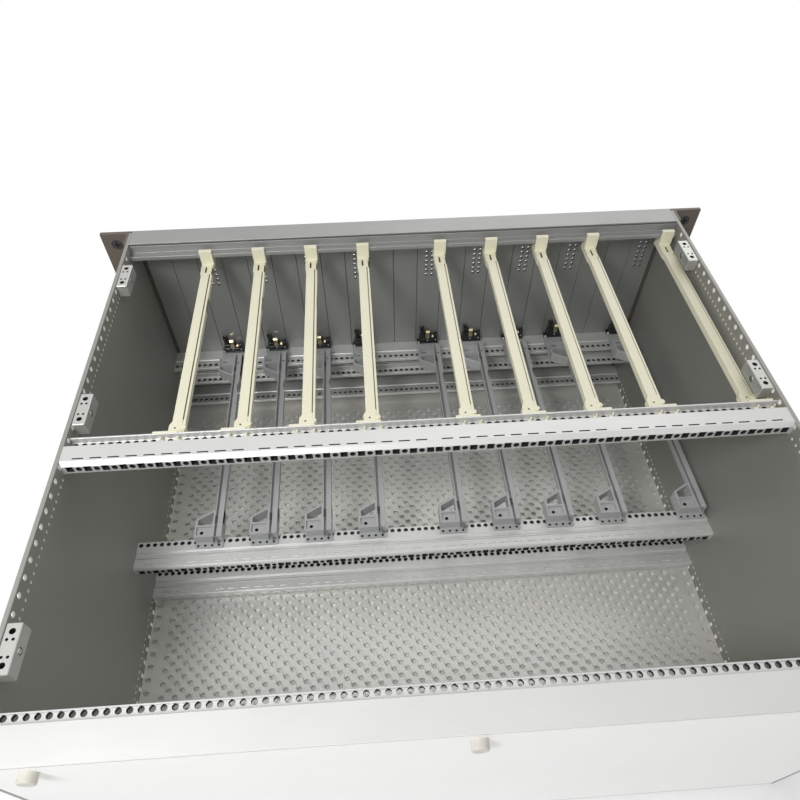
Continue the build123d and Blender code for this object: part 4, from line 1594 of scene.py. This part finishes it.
@dataclass
class LowerGuides:
    """The grey guides that stand on the cage rails, with a braced foot at each end."""

    near: float = -5.6
    far: float = 1.0
    groove: float = -0.8
    groove_width: float = 1.8
    groove_depth: float = 3.0
    back_wall: float = 1.6
    hollow_depth: float = 1.6
    hollow_slant: float = 7.0
    hollow_floor: float = 3.0
    hollow_front: float = 35.0
    hollow_rear: float = 187.0
    flap: float = 4.6
    flap_wall: float = 1.8
    block: float = 15.0
    shoulder: float = 21.0
    length: float = 29.0
    brace: float = 1.8
    width: float = 20.32
    peg: float = 1.5
    foot_sink: float = 1.6
    height: float = 9.35

    def build(self, slots: Flat, grid: Grid) -> None:
        """Makes each guide, cuts its openings, and sets its card clip on it.

        Args:
            slots: X of the card slots.
            grid: The card grid.
        """
        rail, middle = Span.of("front_rail_cage"), Span.of("mid_rail_cage")
        seat = rail.high[2]
        front = rail.low[1] + EdgeRail.body + CLEARANCE
        rear = middle.high[1] - MiddleRail.body - CLEARANCE
        for number, x in enumerate(slots, start=1):
            name = f"lower_guide_{number}"
            legs = seat + self.height
            back = legs - self.groove_depth - self.back_wall
            piece = place(self.shape(x, front, rear, seat, legs, back), f"{name}_moulded", GREY, name)
            cut(piece, self.tools(x, front, rear, seat, legs), joined=True)
            # The holes' walls get painted shade.
            cut(piece, self.holes(x, front, rear, seat, legs, grid), HOLE_PAINTED_SHADE)
            CardClip().build(number, x, rail.low[1], seat, name)

    def shape(self, x: float, front: float, rear: float, seat: float, legs: float, back: float) -> Surface:
        """The band with its two hollows, the thin wall, the groove's floor, both feet and the pegs."""
        near, far = x + self.near, x + self.far
        low, high = x + self.groove - self.groove_width / 2, x + self.groove + self.groove_width / 2
        band = self.band(near, low, front, rear)
        surface = Surface().prism(band, Axis.Z, back, legs, 0.2)
        surface.block((high, front + 2.0, back), (far, rear - 2.0, legs), 0.15)
        surface.block((low - 0.3, front, back), (high + 0.3, rear, legs - self.groove_depth), 0.1)
        for end, inwards in ((front, 1), (rear, -1)):
            plan = self.foot(x, end, inwards)
            surface.prism(corner_curves(plan, 0.9, 2), Axis.Z, seat, legs - 0.02, 0.25)
        clip_front = Span.of("front_rail_cage").low[1] + CLEARANCE
        surface.block((near, clip_front, seat), (near + self.width, front + 1.0, seat + self.flap_wall), 0.2)
        pegs = [(x, Span.of("front_rail_cage").low[1] + EdgeRail.body + EdgeRail.hole_depth, 0)]
        surface.turned([(self.peg, seat - 2.0), (self.peg, seat + 0.5)], Axis.Z, pegs, 16)
        pegs = [(x, Span.of("mid_rail_cage").low[1] + MiddleRail.flange - MiddleRail.root_row, 0)]
        surface.turned([(self.peg, seat - 4.0), (self.peg, seat + 0.5)], Axis.Z, pegs, 16)
        return surface

    def band(self, near: float, far: float, front: float, rear: float) -> Flat:
        """Plan of the wide band: its near side sinks by d(1 - cos)/2 into each hollow and comes back."""
        t = np.linspace(0, 1, 7)
        sink = self.hollow_depth * (1 - np.cos(math.pi * t)) / 2
        side = [(near, front)]
        for place_y in (front + self.hollow_front, front + self.hollow_rear):
            side += list(zip(near + sink, place_y + t * self.hollow_slant))
            end = place_y + self.hollow_slant + self.hollow_floor
            side += list(zip(near + sink[::-1], end + t * self.hollow_slant))
        side.append((near, rear))
        return np.array([(far, rear), (far, front)] + side)

    def foot(self, x: float, end: float, inwards: int) -> Flat:
        """Plan of a foot: a block over the flange, with a slant from its shoulder to the bar."""
        near, inner = x + self.near, x + self.far
        far = near + self.width
        shoulder, tip = end + inwards * self.shoulder, end + inwards * self.length
        plan = np.array([(near, end), (far, end), (far, shoulder), (inner, tip), (near, tip)])
        return plan if inwards > 0 else plan[::-1]

    def window(self, x: float, end: float, inwards: int) -> Flat:
        """Plan of the window between the block, the bar and the slanted brace."""
        inner, far = x + self.far + self.brace / 2, x + self.near + self.width - self.brace
        shoulder, tip = end + inwards * self.shoulder, end + inwards * self.length
        slope = (tip - shoulder) / (x + self.near + self.width - x - self.far)
        drop = inwards * self.brace * math.sqrt(1 + slope**2)
        low = end + inwards * self.block
        return np.array([
            (inner, low), (far, low), (far, tip - slope * (far - x - self.far) - drop),
            (inner, tip - slope * (inner - x - self.far) - drop),
        ])

    def tools(self, x: float, front: float, rear: float, seat: float, legs: float) -> Surface:
        """Windows, flaps, and the groove's mouth through the feet."""
        near = x + self.near
        high = legs + 2.0
        tool = Surface()
        for end, inwards in ((front, 1), (rear, -1)):
            tool.prism(corner_curves(self.window(x, end, inwards), 0.6, 2), Axis.Z, seat - 1, high)
            a, b = sorted((end - inwards * 2.0, end + inwards * self.flap))
            side = near - 1 if inwards < 0 else x + self.far + 0.2
            tool.prism(rectangle((side, a), (near + self.width + 1, b)), Axis.Z, seat + self.flap_wall, high)
            a, b = sorted((end + inwards * (self.flap + 1.6), end + inwards * (self.block - 1.4)))
            plate = corner_curves(rectangle((x + self.far + 1.4, a), (near + self.width - 1.4, b)), 0.8, 2)
            tool.prism(plate, Axis.Z, legs - self.foot_sink, high)
            slot_from, slot_to = sorted((end + inwards * 15.8, end + inwards * 23.8))
            tool.prism(rectangle((x - 0.9, slot_from), (x + 0.4, slot_to)), Axis.Z, seat + 2.0, high)
        low = x + self.groove - self.groove_width / 2
        mouth = rectangle((low, front - 1), (low + self.groove_width, rear + 1))
        tool.prism(mouth, Axis.Z, legs - self.groove_depth, high)
        return tool

    def holes(self, x: float, front: float, rear: float, seat: float, legs: float, grid: Grid) -> Surface:
        """The small holes of the front foot, the large one of the rear foot and the row in its flap."""
        small = [(x + 10.8, front + 9.1, legs), (x + 8.8, front + 9.2, legs), (x - 2.9, front + 12.5, legs)]
        tool = Surface().rods(small, 0.75, Axis.Z, 4.0, 10)
        tool.rods([(x + 9.6, rear - 9.0, legs)], 1.35, Axis.Z, 6.0, 16)
        row_xs = x + grid.pitch / 2 * np.array([-1, 1, 3, 5])
        return tool.rods(row(row_xs, rear - 1.7, seat + self.flap_wall), 1.0, Axis.Z, 1.5, 10)


@dataclass
class CardClip:
    """A card clip: a black body with a forked post, brass contacts and bright pins."""

    depth: float = 6.0
    width: float = 20.32
    ledge: float = 3.0
    rise: float = 6.6
    contact_rise: float = 15.6
    short_rise: float = 10.4
    strip: float = 0.5

    def build(self, number: int, x: float, rail_front: float, seat: float, node: str) -> None:
        """Makes the three pieces of a clip.

        Args:
            number: The guide that it stands on.
            x: X of the card slot.
            rail_front: Y of the rail's front face.
            seat: Height that the foot stands on.
            node: The guide's node, which holds the clip's solid.
        """
        front = rail_front + CLEARANCE
        rear = front + self.depth
        base = seat + LowerGuides.flap_wall
        near = x + LowerGuides.near
        side, top = near + self.width - 0.2, seat + self.rise
        body = Surface().block((near + 0.2, front, base), (side, rear, seat + self.ledge), 0.2)
        body.block((x - 4.7, front, seat + self.ledge - 0.2), (x + 12.2, rear - 0.6, seat + self.rise), 0.3)
        body.block((x + 6.6, front + 0.5, top - 0.3), (x + 12.0, rear - 1.4, top + 3.4), 0.3)
        body.block((x - 0.6, front + 0.5, top - 0.3), (x + 2.2, rear - 1.0, top + 2.4), 0.3)
        post = np.array([
            (8.6, 6.0), (11.2, 6.0), (11.3, 14.6), (12.0, 18.4), (11.2, 18.8), (10.5, 16.4),
            (9.5, 16.4), (8.9, 18.8), (8.0, 18.4), (8.5, 14.6),
        ]) + (x, seat)
        body.prism(corner_curves(post, 0.25), Axis.Y, front + 0.6, rear - 1.8, 0.25)
        arm = np.array([
            (-5.4, 1.9), (-3.0, 1.9), (-1.2, 6.4), (-1.4, 9.4), (-2.2, 11.2), (-4.6, 11.2), (-4.8, 7.0),
        ]) + (x, seat)
        body.prism(corner_curves(arm, 0.4, 2), Axis.Y, front + 0.4, rear - 0.4, 0.3)
        place(body, f"card_clip_{number}", CLIP_BLACK, node)
        self.contacts(number, x, rear, seat, node)
        pins = Surface()
        dome = [(1.25, -0.8), (1.25, 0.0), (0.95, 0.55), (0.5, 0.85), (0.02, 0.95)]
        places = [(x + 13.0, rear, seat + 3.1), (x + 4.6, rear - 0.6, seat + 5.0)]
        places += [(x - 3.0, rear - 0.4, seat + 5.6)]
        pins.turned(dome, Axis.Y, places[:1], 16)
        pins.turned(np.array(dome) * 0.62, Axis.Y, places[1:], 12)
        place(pins, f"card_clip_pins_{number}", CHROME, node)

    def contacts(self, number: int, x: float, rear: float, seat: float, node: str) -> None:
        """Makes the bent contact strips: a path of centres, with half the strip's wall on both sides."""
        surface = Surface()
        strips = ((x + 2.7, x + 6.3, self.contact_rise, 0.0), (x - 1.0, x + 0.6, self.short_rise, 1.0))
        for low, high, rise, lean in strips:
            path = np.array([
                (rear - 2.2 - lean, seat + 4.0), (rear - 1.2 - lean, seat + 7.4),
                (rear - 1.0 - lean, seat + rise - 3.0), (rear - 0.6, seat + rise - 1.4),
                (rear - 1.4, seat + rise - 0.4), (rear - 2.6, seat + rise - 0.5),
            ])
            ahead = np.gradient(path, axis=0)
            ahead /= np.linalg.norm(ahead, axis=1, keepdims=True)
            across = np.stack([-ahead[:, 1], ahead[:, 0]], axis=1) * self.strip / 2
            outline = np.vstack([path + across, (path - across)[::-1]])
            surface.prism(outline, Axis.X, low, high, 0.08)
        place(surface, f"card_clip_contacts_{number}", BRASS, node)


@dataclass
class Stage:
    """The floor, the lights and the camera, which aren't part of the object."""

    floor_size: float = 12.0
    camera_place: tuple[float, float, float] = (0.035712, 0.269185, 0.453945)
    yaw: float = -0.0634
    pitch: float = 0.9442
    roll: float = -0.0068
    focal_pixels: float = 624.25
    image: float = 800.0
    centre_pixel: tuple[float, float] = (399.93, 493.57)
    sensor: float = 36.0
    footprint: tuple[float, float, float] = (0.22, 0.20, 0.0)
    fade: float = 0.08
    glow: float = 1.0
    paint: float = 0.86
    ambient: float = 0.42

    def build(self) -> None:
        """Sets the colour management, and makes the floor, the lights and the camera."""
        scene = bpy.context.scene
        scene.view_settings.view_transform = "Standard"
        self.floor()
        self.lamp("key_light", (0.34, 0.4, 0.72), (0.0, 0.0, 0.05), 0.2, 3.5)
        self.lamp("rear_light", (0.0, 1.6, 0.25), (0.0, 0.2, 0.08), 0.8, 3.0)
        self.lamp("front_light", (-0.5, -1.4, 1.2), (0.0, -0.1, 0.08), 1.2, 5.0)
        self.world()
        self.camera()

    def floor(self) -> None:
        """A pale floor that shows as white to the camera but keeps the object's shadow."""
        half = self.floor_size / 2
        mesh = bpy.data.meshes.new("floor")
        corners = lift(rectangle((-half, -half), (half, half)), Axis.Z, 0.0)
        mesh.from_pydata(corners.tolist(), [], [(0, 1, 2, 3)])
        floor = bpy.data.objects.new("floor", mesh)
        bpy.context.scene.collection.objects.link(floor)
        material = bpy.data.materials.new("floor_paint")
        material.use_nodes = True
        tree = material.node_tree
        surface = tree.nodes["Principled BSDF"]
        surface.inputs["Base Color"].default_value = (self.paint, self.paint, self.paint, 1)
        surface.inputs["Roughness"].default_value = 0.9
        glow = tree.nodes.new("ShaderNodeEmission")
        glow.inputs["Strength"].default_value = 1.0
        path = tree.nodes.new("ShaderNodeLightPath")
        place_node = tree.nodes.new("ShaderNodeTexCoord")
        outside = tree.nodes.new("ShaderNodeVectorMath")
        outside.operation = "ABSOLUTE"
        shift = tree.nodes.new("ShaderNodeVectorMath")
        shift.operation = "SUBTRACT"
        shift.inputs[1].default_value = self.footprint
        axes = tree.nodes.new("ShaderNodeSeparateXYZ")
        farther = tree.nodes.new("ShaderNodeMath")
        farther.operation = "MAXIMUM"
        fade = tree.nodes.new("ShaderNodeMapRange")
        fade.inputs["From Max"].default_value = self.fade
        fade.inputs["To Max"].default_value = self.glow
        share = tree.nodes.new("ShaderNodeMath")
        share.operation = "MULTIPLY"
        mix = tree.nodes.new("ShaderNodeMixShader")
        tree.links.new(place_node.outputs["Object"], outside.inputs[0])
        tree.links.new(outside.outputs["Vector"], shift.inputs[0])
        tree.links.new(shift.outputs["Vector"], axes.inputs[0])
        tree.links.new(axes.outputs["X"], farther.inputs[0])
        tree.links.new(axes.outputs["Y"], farther.inputs[1])
        tree.links.new(farther.outputs["Value"], fade.inputs["Value"])
        tree.links.new(fade.outputs["Result"], share.inputs[0])
        tree.links.new(path.outputs["Is Camera Ray"], share.inputs[1])
        tree.links.new(share.outputs["Value"], mix.inputs["Fac"])
        tree.links.new(surface.outputs["BSDF"], mix.inputs[1])
        tree.links.new(glow.outputs["Emission"], mix.inputs[2])
        tree.links.new(mix.outputs["Shader"], tree.nodes["Material Output"].inputs["Surface"])
        mesh.materials.append(material)

    def lamp(
        self, name: str, where: Sequence[float], target: Sequence[float], size: float, power: float
    ) -> None:
        """Adds a square soft light.

        Args:
            name: Its name.
            where: Its place in metres.
            target: The point that it faces.
            size: Its side in metres.
            power: Its power in watts.
        """
        light = bpy.data.lights.new(name, "AREA")
        light.shape = "SQUARE"
        light.size = size
        light.energy = power
        lamp = bpy.data.objects.new(name, light)
        bpy.context.scene.collection.objects.link(lamp)
        lamp.location = where
        lamp.rotation_mode = "QUATERNION"
        lamp.rotation_quaternion = (Vector(target) - Vector(where)).to_track_quat("-Z", "Y")

    def world(self) -> None:
        """A soft surround that shows as white behind the object and in its metal."""
        world = bpy.data.worlds.new("surround")
        bpy.context.scene.world = world
        world.use_nodes = True
        tree = world.node_tree
        back = tree.nodes["Background"]
        back.inputs["Color"].default_value = (1, 1, 1, 1)
        path = tree.nodes.new("ShaderNodeLightPath")
        seen = tree.nodes.new("ShaderNodeMath")
        seen.operation = "MAXIMUM"
        reach = tree.nodes.new("ShaderNodeMapRange")
        reach.inputs["To Min"].default_value = self.ambient
        reach.inputs["To Max"].default_value = 1.0
        tree.links.new(path.outputs["Is Camera Ray"], seen.inputs[0])
        tree.links.new(path.outputs["Is Glossy Ray"], seen.inputs[1])
        tree.links.new(seen.outputs["Value"], reach.inputs["Value"])
        tree.links.new(reach.outputs["Result"], back.inputs["Strength"])

    def camera(self) -> None:
        """The camera at the photograph's place, turned by its yaw, pitch and roll."""
        sine, cosine = math.sin(self.yaw), math.cos(self.yaw)
        level = math.cos(self.pitch)
        ahead = Vector((sine * level, -cosine * level, -math.sin(self.pitch)))
        right = ahead.cross(Vector((0, 0, 1))).normalized()
        above = right.cross(ahead)
        across = right * math.cos(self.roll) + above * math.sin(self.roll)
        upright = above * math.cos(self.roll) - right * math.sin(self.roll)
        data = bpy.data.cameras.new("camera")
        data.sensor_width = self.sensor
        data.lens = self.focal_pixels / self.image * self.sensor
        data.shift_x = (self.image / 2 - self.centre_pixel[0]) / self.image
        data.shift_y = (self.centre_pixel[1] - self.image / 2) / self.image
        data.clip_start, data.clip_end = 0.01, 50.0
        camera = bpy.data.objects.new("camera", data)
        bpy.context.scene.collection.objects.link(camera)
        turn = Matrix((across, upright, -ahead)).transposed().to_4x4()
        camera.matrix_world = Matrix.Translation(self.camera_place) @ turn
        bpy.context.scene.camera = camera


def main() -> None:
    """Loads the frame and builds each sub-assembly."""
    logging.basicConfig(level=logging.INFO, format="%(name)s %(relativeCreated)d ms: %(message)s")
    for item in list(bpy.data.objects):
        bpy.data.objects.remove(item)
    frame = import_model()
    nodes = frame["nodes"]
    Stage().build()
    grid = Grid()
    slots = np.array([Span.of(f"lower_guide_{number}").low[0] - LowerGuides.near for number in range(1, 10)])
    for rail in (
        # The front top rail takes the darker painted-shade copy of the rail metal.
        EdgeRail("front_rail_top", 1, 1, grid, lipped=True, holes=slots, finish=FRONT_RAIL_PAINTED_SHADE),
        EdgeRail("front_rail_cage", 1, -1, grid),
        EdgeRail("front_rail_divider", 1, 1, grid),
        EdgeRail("front_rail_base", 1, -1, grid, lipped=True),
        EdgeRail("rear_rail_top", -1, 1, grid, lipped=True, hole_depth=5.0),
        EdgeRail("rear_rail_base", -1, -1, grid, lipped=True, hole_depth=5.0),
        MiddleRail("mid_rail_top", -1, 1, grid, flange_wall=2.0, rim_height=4.3),
        MiddleRail("mid_rail_cage", -1, -1, grid, face_up=False),
        MiddleRail("mid_rail_base", -1, -1, grid, face_up=False, pockets=False),
    ):
        rail.build()
    screws = RailScrews()
    SidePanels().build(screws)
    Ears().build(screws)
    screws.build()
    EarScrews().build()
    CoverBlocks().build()
    BottomPlate().build()
    FrontPanels().build(list(nodes))
    PanelScrews().build()
    Bumpers().build()
    UpperGuides().build(slots, grid)
    LowerGuides().build(slots, grid)
    dress(nodes, REAR, "rear_panel")
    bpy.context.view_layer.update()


if __name__ == "__main__":
    main()
